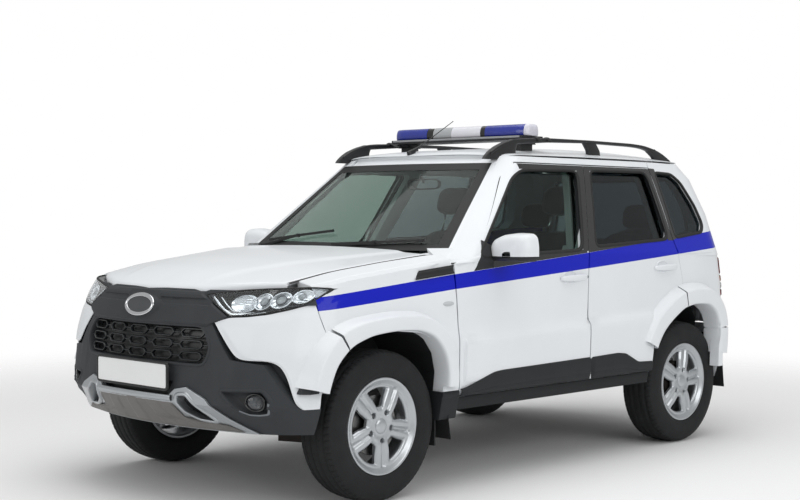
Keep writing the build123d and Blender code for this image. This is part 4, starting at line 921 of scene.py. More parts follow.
def tyre_grid(count=432, rows=100):
    """Tread depth = grooves(x) + sipes(x, angle), taken off the radius over the crown only."""
    profile = rounded(TYRE_OUTLINE, rows, 0.75, closed=True)
    x, r = profile[:, 0], profile[:, 1]
    grid = turned_grid(profile, count)
    a = angles(count)[None, :]
    crown = np.clip((r - 326) / 8, 0, 1)[:, None]
    groove = sum(np.clip(1.5 - np.abs(x - g) / 3.4, 0, 1) for g in (-56, -19, 19, 56))[:, None]
    shift = np.where(np.abs(x) > 56, 0.0, np.where(np.abs(x) > 19, 0.5, 0.25))[:, None]
    part = np.mod(a * 72 / (2 * math.pi) + shift + 0.006 * x[:, None], 1)
    sipe = np.clip(1.6 - np.abs(part - 0.5) * 14, 0, 1)
    sipe = sipe * np.where(np.abs(x) > 62, 1.0, 0.35)[:, None]
    depth = crown * np.maximum(6.5 * groove, 5.0 * sipe)
    rib = 0.9 * np.exp(-((r - 300) / 2.0) ** 2) + 1.2 * np.exp(-((r - 243) / 2.5) ** 2)
    side = np.sign(x) * np.where(np.abs(x) > 90, rib, 0)
    side = np.clip(x + side, -106.9, 106.9) - x
    grid[..., 0] += side[:, None]
    scale = (r[:, None] - depth) / r[:, None]
    grid[..., 1:] *= scale[..., None]
    return grid


# %% [markdown]
# ## Alloy wheels
# A cast wheel is a barrel with a pierced face. Five wide spokes each carry a deep groove
# that starts at a wheel nut, and the windows between them have rounded corners.
# One fifth of the face is a ring patch from the sector's edge to the window's edge, worked
# out in polar coordinates; the other four are turned copies, welded at the spoke centres.

# %% Wheel face
SECTOR = math.radians(36)
FACE_R = (25.0, 205.0)
WINDOW_R = (88.0, 172.0)
NUT_CIRCLE, NUT_HOLE = 68.0, 11.5


def face_x(r):
    """The face's height over the wheel's middle plane: flat hub, spokes dished slightly, then the lip."""
    return np.interp(r, [0, 48, 60, 85, 130, 176, 190, 197, 205], [80, 80, 83, 85.5, 84, 79, 78, 83, 89])


def wheel_face():
    """Ring patches from sector edge to window edge; height = face_x(r) - groove - nut hole - rounded
    window edge."""
    r_line = np.concatenate([np.linspace(FACE_R[0], 50, 6, endpoint=False),
                             np.linspace(50, 88, 18, endpoint=False),
                             np.linspace(88, 180, 18, endpoint=False), np.linspace(180, FACE_R[1], 9)])
    n, m, k = len(r_line), 26, 12
    wide = math.radians(20.5)
    narrow = math.radians(10.0)
    rw = np.linspace(*WINDOW_R, n)
    hw = narrow + (wide - narrow) * (rw - WINDOW_R[0]) / (WINDOW_R[1] - WINDOW_R[0])
    top, low = np.linspace(1, -1, m + 1)[1:-1], np.linspace(-1, 1, k + 1)[1:-1]
    outer = np.concatenate([np.stack([r_line, np.full(n, SECTOR)], -1),
                            np.stack([np.full(m - 1, FACE_R[1]), SECTOR * top], -1),
                            np.stack([r_line[::-1], np.full(n, -SECTOR)], -1),
                            np.stack([np.full(k - 1, FACE_R[0]), SECTOR * low], -1)])
    inner = np.concatenate([np.stack([rw, hw], -1), np.stack([np.full(m - 1, WINDOW_R[1]), wide * top], -1),
                            np.stack([rw[::-1], -hw[::-1]], -1),
                            np.stack([np.full(k - 1, WINDOW_R[0]), narrow * low], -1)])
    flat = np.stack([inner[:, 0] * np.cos(inner[:, 1]), inner[:, 0] * np.sin(inner[:, 1])], -1)
    wrap = np.concatenate([flat[-12:], flat, flat[:12]])
    flat = gauss_smooth(wrap, 2.4, 0)[12:-12]
    edge = np.stack([outer[:, 0] * np.cos(outer[:, 1]), outer[:, 0] * np.sin(outer[:, 1])], -1)
    s = (np.linspace(0, 1, 13) ** 1.15)[:, None, None]
    plane = edge[None] * (1 - s) + flat[None] * s
    r = np.hypot(plane[..., 0], plane[..., 1])
    a = np.arctan2(plane[..., 1], plane[..., 0])
    across = (SECTOR - np.abs(a)) * r
    run = np.clip((r - 74) / 10, 0, 1) * np.clip((192 - r) / 8, 0, 1)
    groove = 9.0 * run * np.clip(1.25 - across / (5.0 + 0.045 * r), 0, 1)
    hub_gap = np.hypot(r - NUT_CIRCLE, across)
    nut = 15.0 * np.clip((NUT_HOLE + 2.0 - hub_gap) / 3.0, 0, 1)
    edge_fall = 11.0 * np.clip((s[..., 0] - 0.66) / 0.34, 0, 1) ** 2
    x = face_x(r) - np.maximum(groove, nut) - edge_fall
    return np.stack([x, plane[..., 0], plane[..., 1]], -1)


LIP_PROFILE = [(70, 190), (80, 197), (87, 202.5), (91.5, 207), (93.6, 213), (93.8, 220.5), (89, 221.6),
               (84, 217), (58, 212.5), (-58, 212.5), (-86, 217), (-93.6, 221.5), (-93.8, 207), (-84, 201),
               (-70, 196), (0, 181), (40, 184)]
CAP_PROFILE = [(74, 0.2), (88.6, 0.2), (88.2, 14), (86.4, 26), (83.5, 33), (79, 35.5), (74, 35.5)]


def face_shell_grid(wall=15.0):
    """The face, and its own back wall mm further in, joined at the window's edge."""
    face = wheel_face()
    back = face - np.array([wall, 0, 0])
    return np.concatenate([face, back[::-1]], 0)


def turn_about_x(points, angle):
    """Points turned about the axle."""
    c, s = math.cos(angle), math.sin(angle)
    out = points.copy()
    out[..., 1] = points[..., 1] * c - points[..., 2] * s
    out[..., 2] = points[..., 1] * s + points[..., 2] * c
    return out


def put_wheel(points, centre, side, spare=False):
    """Wheel coordinates (outwards, and two across) to the car: mirrored on the right, facing the rear
    for the spare."""
    p = points.copy()
    if spare:
        p = np.stack([-p[..., 1], p[..., 0], p[..., 2]], -1)
    else:
        p[..., 0] *= side
    return p + np.array(centre, float)


def joined_piece(name, parts, material, body, stands_for=(), weld=0.0, auto=None):
    """Several (points, faces) arrays as one mesh; weld merges points closer than that many mm."""
    vertices, faces, start = [], [], 0
    for points, corners in parts:
        flat = np.asarray(points, float).reshape(-1, 3)
        vertices.append(flat)
        faces.append(np.asarray(corners) + start)
        start += len(flat)
    piece = finish_panel(name, place(np.concatenate(vertices)), np.concatenate(faces), material, body,
                         stands_for=stands_for)
    if weld:
        built = bmesh.new()
        built.from_mesh(piece.data)
        bmesh.ops.remove_doubles(built, verts=built.verts, dist=weld / 1000)
        bmesh.ops.recalc_face_normals(built, faces=built.faces)
        built.to_mesh(piece.data)
        built.free()
    if auto:
        sharpen(piece, auto)
    return piece


def sharpen(piece, angle):
    """Marks edges that turn more than the angle as sharp, so that shading breaks there."""
    mesh = piece.data
    built = bmesh.new()
    built.from_mesh(mesh)
    mark_sharp(built, angle)
    built.to_mesh(mesh)
    built.free()


SPOKES = 5
WHEELS = [
    # name, centre, side, first spoke's angle
    ("front_left", (733, 0, 343), 1, 30), ("front_right", (-733, 0, 343), -1, 50),
    ("rear_left", (728, 2450, 343), 1, 12), ("rear_right", (-728, 2450, 343), -1, 65),
    ("spare", (0, 3220, 862), 0, 20),
]


# %% [markdown]
# ## Wheels
# The wheel's points are made once, about their own axle. Each wheel sets them at its hub: mirrored
# on the right, and turned to face the rear for the spare. The spokes repeat round the axle.

# %% Wheels
def hexagon_nut(x0, x1, r):
    """A six-sided nut with a domed end: radii at four heights along x."""
    a = np.arange(12) * math.pi / 6
    rows = [(x0, r), (x1 - 4, r), (x1 - 1, r * 0.75), (x1, 0.05)]
    return np.stack([np.stack([np.full(12, x), rr * np.cos(a), rr * np.sin(a)], -1) for x, rr in rows])


face_shell = face_shell_grid()
tyre_points = tyre_grid()
lip_points = turned_grid(rounded(LIP_PROFILE, 72, 0.6, closed=True), 160)
cap_points = turned_grid(along(CAP_PROFILE, 30), 60)
for name, centre, side, first in WHEELS:
    spare = side == 0
    body = "tailgate" if spare else "wheel_" + name
    mirror = side < 0
    turn, step = math.radians(90 - first), math.radians(360 / SPOKES)
    set_wheel = lambda p: put_wheel(p, centre, side, spare)
    joined_piece("tyre_" + name + "_tread", [tube(set_wheel(tyre_points), True, not mirror)],
                 RUBBER, body, ("tyre_" + name,), weld=0.01, auto=50)
    parts = [tube(set_wheel(lip_points), True, not mirror)]
    for k in range(SPOKES):
        sector = turn_about_x(face_shell, turn + step / 2 - step * k)
        parts.append(tube(set_wheel(sector), False, mirror))
    parts.append(tube(set_wheel(cap_points), False, mirror))
    joined_piece("rim_" + name + "_cast", parts, ALLOY, body, ("rim_" + name,), weld=0.02, auto=38)
    nuts = []
    for k in range(SPOKES):
        a = turn + step * k
        nut = hexagon_nut(62, 77, 8.5) + np.array([0, NUT_CIRCLE * math.cos(a), NUT_CIRCLE * math.sin(a)])
        nuts.append(tube(set_wheel(nut), False, mirror))
    joined_piece("nuts_" + name, nuts, DARK_ALLOY, body, weld=0.02, auto=30)
print("wheels", len(WHEELS), "tyre points", tyre_points.shape)


# %% [markdown]
# ## Door skins
# A door's outer skin is one pressing with a soft ledge along its lower third. The skin is a
# ring between the door's shut line and its window. The ledge is an offset added to the
# body's surface: a smooth step of a few millimetres between two sloping lines.

# %% Door skins
FRONT_DOOR_RING = ([(470.5, 444), (470.5, 660), (470.5, 730), (470.5, 800), (470.5, 1058), (606, 1064),
                    (1046, 1494), (1150, 1556), (1708, 1556), (1614, 1331), (1518, 1101), (1490, 900),
                    (1477, 780), (1474, 720), (1468, 444)],
                   [(750, 1094), (725, 1093.6), (707, 1093.3), (690, 1093), (660, 1092), (656, 1092),
                    (1086, 1478), (1178, 1518), (1640, 1524), (1560, 1320), (1474, 1112), (1465, 1111.8),
                    (1450, 1111.4), (1440, 1111), (1360, 1109)])
REAR_DOOR_RING = ([(1475, 444), (1482, 700), (1497, 900), (1525, 1101), (1621, 1331), (1715, 1556),
                   (2336, 1556), (2352, 1400), (2352, 1165), (2368, 1071), (2400, 925), (2402, 860),
                   (2402, 781), (2340, 772), (2216, 708), (2140, 655), (2076, 575), (2050, 480), (2048, 444)],
                  [(1700, 1132.5), (1640, 1129.8), (1605, 1128.2), (1600, 1128), (1684, 1330), (1758, 1528),
                   (2290, 1530), (2310, 1390), (2306, 1160), (2300, 1159.7), (2280, 1158.8), (2262, 1158),
                   (2245, 1157), (2225, 1156), (2180, 1154), (2130, 1152), (2080, 1150), (2020, 1147),
                   (1990, 1146)])
# height at y 480, slope along y, width down the door, how far it stands out
LEDGE = (718.0, 0.0338, 27.0, 15.0)


def smooth_step(t):
    """3 t^2 - 2 t^3 between 0 and 1."""
    t = np.clip(t, 0, 1)
    return t * t * (3 - 2 * t)


def ledge(y, z):
    """The door's ledge: 0 above the upper line, full height below the lower one, faded out at both
    ends of the side."""
    top = LEDGE[0] + LEDGE[1] * (y - 480)
    ends = smooth_step((y - 494) / 12) * smooth_step((2110 - y) / 60)
    return LEDGE[3] * np.clip((top - z) / LEDGE[2], 0, 1) * ends


def body_side(y, z, out):
    """Body side with its ledge; out is the height over the bare skin."""
    return side_x(y, z) + out + np.where(z < 1000, ledge(y, z), 0.0)


def side_panel(name, flat, material, body, side, out=2.5, wall=5.0, bevel=1.6, close_cols=False,
               profile=None):
    """A (y, z) map laid on the body side; profile is an extra height for each point of the map."""
    y, z = flat[..., 0], flat[..., 1]
    x = body_side(y, z, out) + (0 if profile is None else profile)
    return side_sheet(name, np.stack([x, y, z], -1), material, body, side, wall=wall, bevel=bevel,
                      close_cols=close_cols)


SIDES = (("left", 1), ("right", -1))


def on_side(body, side):
    """A body's full name: one that ends in _ takes the side."""
    return body + side if body.endswith("_") else body


for side, sign in SIDES:
    for name, (outer, inner) in (("front", FRONT_DOOR_RING), ("rear", REAR_DOOR_RING)):
        ring = ring_map(outer, inner, 9, 46)
        side_panel("door_skin_%s_%s" % (name, side), ring, PAINT, "door_%s_%s" % (name, side), sign,
                   close_cols=True)
print("door skins 4")

# %% [markdown]
# ## Window surrounds
# Black acrylic covers hide the pillars between the windows, and a rubber seal runs round
# each pane. Both are thin strips laid over the painted frame.

# %% Window surrounds
WINDOWS = {
    "front": ([(656, 1092), (1474, 1112), (1560, 1320), (1640, 1524), (1178, 1518), (1086, 1478)],
              "door_front_"),
    "rear": ([(1600, 1128), (2306, 1160), (2310, 1390), (2290, 1530), (1758, 1528), (1684, 1330)],
             "door_rear_"),
    "quarter": ([(2392, 1168), (2690, 1196), (2726, 1240), (2700, 1350), (2628, 1480), (2560, 1526),
                 (2392, 1532)], "body"),
}
# pillar covers: quadrilaterals (y, z) from bottom front, round to top front
PILLAR_COVERS = [
    ("b_front", "door_front_", [(1474, 1104), (1519.5, 1104), (1709.5, 1553), (1650, 1553)]),
    ("b_rear", "door_rear_", [(1523.5, 1104), (1604, 1120), (1762, 1553), (1713, 1553)]),
    ("c_rear", "door_rear_", [(2304, 1150), (2352, 1150), (2336, 1553), (2288, 1553)]),
    ("c_quarter", "body", [(2357, 1152), (2398, 1160), (2398, 1556), (2340, 1558)]),
]


def closed_ring(points, n, radius, out_by=0.0):
    """A closed outline resampled to n points, its corners rounded, then moved outwards along its normals."""
    p = rounded(points, n, radius, closed=True)
    d = np.roll(p, -1, 0) - np.roll(p, 1, 0)
    d /= np.linalg.norm(d, axis=1)[:, None]
    normal = np.stack([d[:, 1], -d[:, 0]], -1)
    turn = np.sum(p[:, 0] * np.roll(p[:, 1], -1) - np.roll(p[:, 0], -1) * p[:, 1])
    return p + normal * out_by * (1 if turn > 0 else -1)


for side, sign in SIDES:
    for name, (points, body) in WINDOWS.items():
        rings = [closed_ring(points, 168, 2.2, d) for d in (11.0, 10.0, 4.0, -3.0, -6.0)]
        height = np.array([0.5, 3.0, 3.6, 1.0, -7.0])[:, None]
        side_panel("window_seal_%s_%s" % (name, side), np.stack(rings), SEAL, on_side(body, side), sign,
                   2.5, 2.0, 0, True, height)
    for name, body, corners in PILLAR_COVERS:
        a, b, c, d = (np.array(p, float) for p in corners)
        u, v = np.linspace(0, 1, 5)[None, :, None], np.linspace(0, 1, 30)[:, None, None]
        flat = (1 - v) * ((1 - u) * a + u * b) + v * ((1 - u) * d + u * c)
        side_panel("pillar_cover_%s_%s" % (name, side), flat, GLOSS_BLACK, on_side(body, side), sign,
                   4.2, 3.0, 0.8)
print("seals", 6, "pillar covers", 8)

# %% [markdown]
# ## Lower cladding, sills and handles
# Grained plastic shields the lower doors from stones. Its face stands a centimetre out from
# the paint, with a bevelled upper edge; its colour is the bumper's plastic made darker, as painted shade.
# The sill below is tucked in, so it stays in shade, and its colour is darker again as painted shade.

# %% Cladding and sills
CLADDING = {
    "front": ([(471, 475), (700, 540), (760, 545), (1468, 557)], 471, 1468),
    "rear": ([(1475, 556), (1722, 562), (1798, 554), (1918, 501), (2046, 496)], 1475, 2046),
}


def cladding_map(top, start, end, n=70):
    """Rows from the lower edge to the upper one; height 10.5 mm, a bevel of 14 mm at the top, a round
    at the bottom."""
    y = np.linspace(start + 1.0, end + 0.4, n)
    high = np.interp(y, [p[0] for p in top], [p[1] for p in top])
    high = gauss_smooth(high[:, None], 1.0, 0)[:, 0]
    v = np.array([0, 0.02, 0.06, 0.2, 0.33, 0.36, 0.39, 0.6, 0.8, 1.0])
    low = 441.0
    z = low + (high[None, :] - 14 - low) * v[:, None]
    z = np.concatenate([z, (high - 5)[None], high[None]])
    rise = np.concatenate([[-4, 4, 8.5, 9.5, 10.0, 9.2, 11.0, 11.0, 11.0, 11.0], [9.0, 1.5]])[:, None]
    # the leading edge is low, so that it clears the panel ahead as the door swings about its outboard hinge
    return np.stack([np.broadcast_to(y, z.shape), z],
                    -1), rise - 10.0 * (1 - smooth_step((y - start) / 30))[None]


for side, sign in SIDES:
    for name, (top, start, end) in CLADDING.items():
        flat, rise = cladding_map(top, start, end)
        # the cladding's darker colour is painted shade
        side_panel("cladding_%s_%s" % (name, side), flat, CLADDING_PAINTED_SHADE, "door_%s_%s" % (name, side), sign,
                   1.0, 4.0, 0.8, profile=rise + LEDGE[3]
                   - np.where(flat[..., 1] < 1000, ledge(flat[..., 0], flat[..., 1]), 0))
    y = np.linspace(464, 2046, 80)
    z = np.array([438, 434, 410, 384, 375, 373.0])[:, None]
    out = np.array([0.0, 3.0, 4.0, 3.0, 0.0, -30.0])[:, None]
    sill = xyz(lower_side_x(y, np.maximum(z, 376)) + out, y, z)
    # the sill cover's darker colour is painted shade
    side_sheet("sill_cover_" + side, sill, SILL_PAINTED_SHADE, "body", sign, wall=3.0, bevel=0.8)
print("cladding 4, sill covers 2")

# %% [markdown]
# ## Handles
# A door handle is a painted bar over a shallow bowl. Each is a few tubes joined into one piece that rides
# its own door.

# %% Handles
HANDLES = [("front", 1372.0, 985.0), ("rear", 2226.0, 1018.0)]


def loft_tube(centres, halves, count=24, power=2.6):
    """A closed bar along Y: at each centre (x, y, z) a superellipse |x/a|^p + |z/b|^p = 1 with half
    sizes (a, b)."""
    c, h = np.asarray(centres, float), np.asarray(halves, float)
    a = angles(count)
    px, pz = bent(np.cos(a), 2 / power), bent(np.sin(a), 2 / power)
    return xyz(c[:, 0, None] + h[:, 0, None] * px, c[:, 1, None], c[:, 2, None] + h[:, 1, None] * pz)


def handle_parts(y, z):
    """The grip is a bar that leaves the skin, runs along it and comes back; the cup behind it is an
    oval dish."""
    t = np.linspace(0, 1, 40)
    x0 = lower_side_x(np.array(y), np.array(z))
    arch = np.sin(math.pi * np.clip(t, 0.002, 0.998))
    bar = np.stack([x0 + 3 + 22 * arch ** 0.4, y - 112 + 224 * t, z - 18 + 5 * t], -1)
    half = np.stack([8.0 * arch ** 0.25, 16.5 * arch ** 0.22], -1)
    r, a = disc_grid(12, 48)
    cy, cz = y - 28 + 66 * r * np.cos(a), z - 12 + 38 * r * np.sin(a)
    dish = lower_side_x(cy, cz) + 2.6 + 5.0 * np.exp(-((r - 0.86) / 0.09) ** 2)
    dish = dish - 2.0 * smooth_step((r - 0.93) / 0.07)
    return loft_tube(bar, half), xyz(dish, cy, cz)


for side, sign in SIDES:
    for name, y, z in HANDLES:
        bar, dish = handle_parts(y, z)
        for g in (bar, dish):
            g[..., 0] *= sign
        joined_piece("handle_%s_%s" % (name, side), [tube(bar), tube(dish)], PAINT,
                     "door_%s_%s" % (name, side))
        if name == "front":
            r, a = disc_grid(8, 32)
            by, bz = y + 104 + 8.5 * r * np.cos(a), z - 13 + 8.5 * r * np.sin(a)
            side_sheet("door_lock_" + side, xyz(lower_side_x(by, bz) + 18 - 4 * r ** 4, by, bz), GREY_PLASTIC,
                       "door_front_" + side, sign, wall=14.0, close_cols=True)
print("handles 4")

# %% [markdown]
# ## Wheel-arch flares
# Each flare is one profile carried along the arch: a crisp step up from the panel, a flat
# band, then a rolled lip into the arch. The profile is given as distance from the arch and
# height over the panel, so the same section follows any arch line.

# %% Flares
FRONT_ARCH = [(-402, 480), (-401, 520), (-350, 645), (-262, 722), (-130, 762), (20, 774), (180, 768),
              (278, 732), (345, 650), (368, 560), (360, 480)]
REAR_ARCH = [(2050, 480), (2076, 575), (2140, 655), (2216, 708), (2340, 772), (2460, 790), (2600, 784),
             (2672, 742), (2706, 680), (2712, 600), (2700, 500)]
FLARE_X = 904.0
# distance out from the arch, share of the way from panel to flare face, extra height
FLARE_SECTION = [(86, 0.0, 0.6), (84.5, 0.03, 1.5), (82, 0.16, 0), (76, 0.46, 0), (70, 0.74, 0),
                 (66, 0.91, 0), (63.5, 0.965, 0), (60, 0.985, 0), (28, 1.0, 0), (12, 1.0, 0), (5, 0.97, -1.0),
                 (1, 0.86, -4.0), (-1.5, 0.7, -9.0), (-1.5, 0.2, -30.0), (-1.5, 0.0, -60.0)]


def flare_grid(arch, keep, widen, n=74):
    """Section points carried along the rounded arch; keep is the range of the arch's length to make, 0
    to 1. Widen
    stretches the part of the section that climbs from the panel."""
    line = rounded(arch, 300, 9.0)
    s = np.linspace(keep[0], keep[1], n)
    k = np.linspace(0, 1, len(line))
    p = np.stack([np.interp(s, k, line[:, c]) for c in (0, 1)], -1)
    d = np.gradient(p, axis=0)
    d /= np.linalg.norm(d, axis=1)[:, None]
    normal = np.stack([-d[:, 1], d[:, 0]], -1)
    far, share, extra = (np.array(FLARE_SECTION)[:, c][:, None] for c in range(3))
    far = np.where(far > 28, 28 + (far - 28) * np.interp(s, *widen)[None], far)
    y = p[None, :, 0] + normal[None, :, 0] * far
    z = p[None, :, 1] + normal[None, :, 1] * far
    panel = lower_side_x(y, np.clip(z, 345, 1195)) + 1.5
    x = panel + (FLARE_X - panel) * share + extra
    return np.stack([x, y, z], -1)


# how much wider the climb from the panel is, along the arch
WIDEN_FRONT = ((0.0, 0.22, 0.4, 1.0), (1.65, 1.5, 1.05, 1.0))
WIDEN_REAR = ((0.0, 1.0), (1.6, 1.6))
FLARES = [
    # name, arch, part of its length, body
    ("corner", FRONT_ARCH, (0.045, 0.236), "body"), ("wing", FRONT_ARCH, (0.243, 0.985), "body"),
    ("door", REAR_ARCH, (0.085, 0.445), "door_rear_"), ("quarter", REAR_ARCH, (0.452, 0.862), "body"),
    ("bumper", REAR_ARCH, (0.868, 1.0), "body"),
]
for side, sign in SIDES:
    for name, arch, keep, body in FLARES:
        grid = flare_grid(arch, keep, WIDEN_FRONT if arch is FRONT_ARCH else WIDEN_REAR)
        side_sheet("flare_%s_%s" % (name, side), grid, PAINT, on_side(body, side), sign, wall=3.0, bevel=0.9)
print("flares", 2 * len(FLARES))


# %% [markdown]
# ## The nose
# The front bumper, grille and lamps share one skin, so their pieces are drawn on a front
# view (half width x, height z) and pushed on to that skin. A height along the skin's own
# normal then makes a rim, a recess or a raised badge boss. The boss carries a plain oval.


# %% Nose tools
def skin_at(u, z, out=0.0, side=1.0, table=lower_xy, z_values=LOWER_Z):
    """Outline number u and height z to a point, moved out mm along the skin's level normal (dy, -dx)."""
    u, z, out, side = np.broadcast_arrays(*(np.asarray(v, float) for v in (u, z, out, side)))
    p = read_table(table, z_values, u, z)
    d = read_table(table, z_values, u + 1.5, z) - read_table(table, z_values, np.maximum(u - 1.5, 0), z)
    d /= np.linalg.norm(d, axis=-1)[..., None]
    return np.stack([(p[..., 0] + d[..., 1] * out) * side, p[..., 1] - d[..., 0] * out, z], -1)


def nose_u(x, z):
    """Outline number of the nose at half width x and height z."""
    return find_u(lower_xy, LOWER_Z, 0, np.abs(x), z, 0, 112)


def nose_point(x, z, out=0.0):
    """Front view (x, z) to the skin."""
    return skin_at(nose_u(x, z), z, out, np.where(np.asarray(x, float) < 0, -1.0, 1.0))


def nose_rim(name, points, rows, material, body="body", side=1, n=150, radius=2.0, **options):
    """A strip that follows a closed outline of the front view; each row is (distance outside the
    outline, height)."""
    rings = [closed_ring(points, n, radius, d) for d, _ in rows]
    grid = np.stack([nose_point(r[:, 0] * side, r[:, 1], out) for r, (_, out) in zip(rings, rows)])
    return sheet(name, grid, material, body, (0.35 * side, -1, 0), close_cols=True, **options)


def nose_fill(points, n=60, rings=14, radius=2.0, shrink=0.0):
    """An outline filled by copies of itself that shrink to its middle: rings of (x, z) and each ring's
    share s."""
    outer = closed_ring(points, n, radius, -shrink)
    s = np.linspace(0, 1, rings)[:, None, None]
    centre = outer.mean(0)
    return outer[None] * (1 - s) + centre * s, s[..., 0]


# %% [markdown]
# ## Grille
# The insert is one black moulding: three rows of stretched hexagon rings joined tip to tip
# by short bars, standing before a dark screen. A ring is a small rounded section carried
# round a hexagon path, so all fifteen come from one array with only the centres changed.

# %% Grille
GRILLE = [(-400, 800), (400, 800), (452, 715), (424, 640), (-424, 640), (-452, 715)]
RING_ROWS = [773.0, 722.0, 672.0]
RING_PITCH, RING_HALF = 172.0, (65.0, 17.0)


def hexagon_path(half_x, half_z, n=48):
    """Stretched hexagon with softly rounded corners, as offsets (x, z)."""
    corners = [(-1, 0), (-0.74, 1), (0.74, 1), (1, 0), (0.74, -1), (-0.74, -1)]
    return rounded(np.array(corners, float) * (half_x, half_z), n, 0.8, closed=True)


def tube_part(path, closed, half_wide, half_deep, out, count=8):
    """A rounded section carried along a front-view path: across the path in the view, and along the
    skin's normal."""
    d = np.gradient(path, axis=0) if not closed else np.roll(path, -1, 0) - np.roll(path, 1, 0)
    d /= np.linalg.norm(d, axis=1)[:, None]
    side = np.stack([-d[:, 1], d[:, 0]], -1)
    a = angles(count) + math.pi / count
    x = path[:, 0, None] + side[:, 0, None] * half_wide * np.cos(a)
    z = path[:, 1, None] + side[:, 1, None] * half_wide * np.cos(a)
    return tube(nose_point(x, z, out + half_deep * np.sin(a)[None, :]), closed)


rings, bars = [], []
for z in RING_ROWS:
    for k in range(-2, 3):
        x = k * RING_PITCH
        rings.append(tube_part(hexagon_path(*RING_HALF) + (x, z), True, 4.2, 9.0, -14.0))
    ends = [-452 + abs(z - 715) * 0.35 + 4] + [k * RING_PITCH
                                               for k in range(-2, 3)] + [452 - abs(z - 715) * 0.35 - 4]
    for k, (a, b) in enumerate(zip(ends, ends[1:])):
        a = a + (RING_HALF[0] - 3 if k else 0)
        b = b - (RING_HALF[0] - 3 if k < 5 else 0)
        bars.append(tube_part(np.stack([np.linspace(a, b, 4), np.full(4, z)], -1), False, 5.0, 6.0, -16.0))
GRILLE_BLACK = moulded("satin_black_grille_moulding", "#1C1E20", "#26282A", 0.34, 3.0, 0.02)
joined_piece("grille_rings", rings + bars, GRILLE_BLACK, "body", ("grille",), weld=0.02, auto=45)
back, s = nose_fill(GRILLE, 96, 16, 2.0, -4.0)
sheet("grille_screen", nose_point(back[..., 0], back[..., 1], -40.0), SATIN_BLACK, "body", (0, -1, 0),
      close_cols=True)
nose_rim("grille_frame", GRILLE, [(12, 0.8), (10.5, 3.2), (3, 4.0), (0, 2.5), (-1.5, -4), (-3, -40)], GRAINED,
         n=220, radius=2.4)
print("grille rings", len(rings))

# %% [markdown]
# ## Upper bumper panel
# Between the lamps the bumper rises to the bonnet: a raised panel with two long slots, a
# rib over each, and an oval boss in the middle. All of it is one height map over the skin.

# %% Upper panel
PANEL_EDGE = ([803, 818, 832, 848, 900, 938, 953], [424, 447, 486, 512, 424, 360, 352])   # z, half width
BOSS = (882.0, 146.0, 56.0)


def upper_panel_height(x, z, edge):
    """Base height, minus the slots, plus the ribs above them, with the boss blended in by the larger
    of the two."""
    ax = np.abs(x)
    slot = smooth_step((ax - 112) / 14) * smooth_step((418 - 0.55 * (z - 894) - ax) / 12)
    slot = slot * smooth_step((z - 892) / 6) * smooth_step((924 - z) / 6)
    rib = np.exp(-((z - 936) / 9.0) ** 2) * smooth_step((ax - 96) / 20)
    line = smooth_step((z - 949) / 3)
    height = 9.0 - 8.2 * slot + 4.0 * rib - 6.0 * line
    r = np.hypot(x / BOSS[1], (z - BOSS[0]) / BOSS[2])
    boss = 19.0 * smooth_step((1.06 - r) / 0.30)
    return np.maximum(height, boss) * (0.12 + 0.88 * smooth_step(edge / 0.035))


z = np.linspace(804, 953, 62)[:, None]
s = np.linspace(-1, 1, 205)[None, :]
x = s * np.interp(z, *PANEL_EDGE)
edge = np.minimum(1 - np.abs(s), np.minimum((z - 803) / 400, 1.0) + 0 * s)
panel = nose_point(x, z, upper_panel_height(x, z, edge))
sheet("bumper_upper_panel", panel, GRAINED, "body", (0, -1, 0), wall=5.0)
BADGE = [(96 * math.cos(a), 884 + 43 * math.sin(a)) for a in angles(72)]
badge_ring = tube_part(np.array(BADGE), True, 8.5, 6.0, 20.5, 14)
joined_piece("badge_ring", [badge_ring], CHROME, "body", weld=0.02)
disc, s = nose_fill(BADGE, 72, 10, 0.1, 2.0)
sheet("badge_blank", nose_point(disc[..., 0], disc[..., 1], 19.6 + 2.5 * s), DARK_ALLOY, "body", (0, -1, 0),
      close_cols=True)
print("upper panel", panel.shape)

# %% [markdown]
# ## Headlamps
# A headlamp is a dark box with a clear lid. Inside sit plated reflectors: a wide one with
# fine ribs, a round one for main beam, and a round indicator at the outer end. A plated
# strip follows the inner edge. Reflectors are shallow bowls of the skin pushed inwards.

# %% Headlamps
LENS_BOTTOM = [(522, 850), (600, 856), (680, 868), (745, 888), (782, 908), (800, 934), (811, 962)]
LENS_TOP = [(368, 940), (450, 951), (540, 961), (640, 969), (720, 973), (780, 976), (815, 970)]


def numbered(line, find):
    """A drawn line's points with their first coordinate turned into outline numbers."""
    return np.stack([find(line[:, 0], line[:, 1]), line[:, 1]], -1)


def lens_map(rows=26, cols=90):
    """A Coons patch between the lamp's lower and upper edges, worked out in outline numbers so it
    wraps the corner."""
    low, high = eased(LENS_BOTTOM, cols, 1.5), eased(LENS_TOP, cols, 1.5)
    low, high = numbered(low, nose_u), numbered(high, nose_u)
    return patch(low, high, rows)


def bowl(x, z, rx, rz, rim_out, depth, count=48, rings=14, ribs=0.0, pitch=9.0):
    """An elliptical bowl: height = rim - depth * (1 - r^2), with level ribs pressed into it."""
    r, a = disc_grid(rings, count)
    px, pz = x + rx * r * np.cos(a), z + rz * r * np.sin(a)
    height = rim_out - depth * (1 - r ** 2) + ribs * np.sin(2 * math.pi * pz / pitch) * (1 - r ** 4)
    return px, pz, height


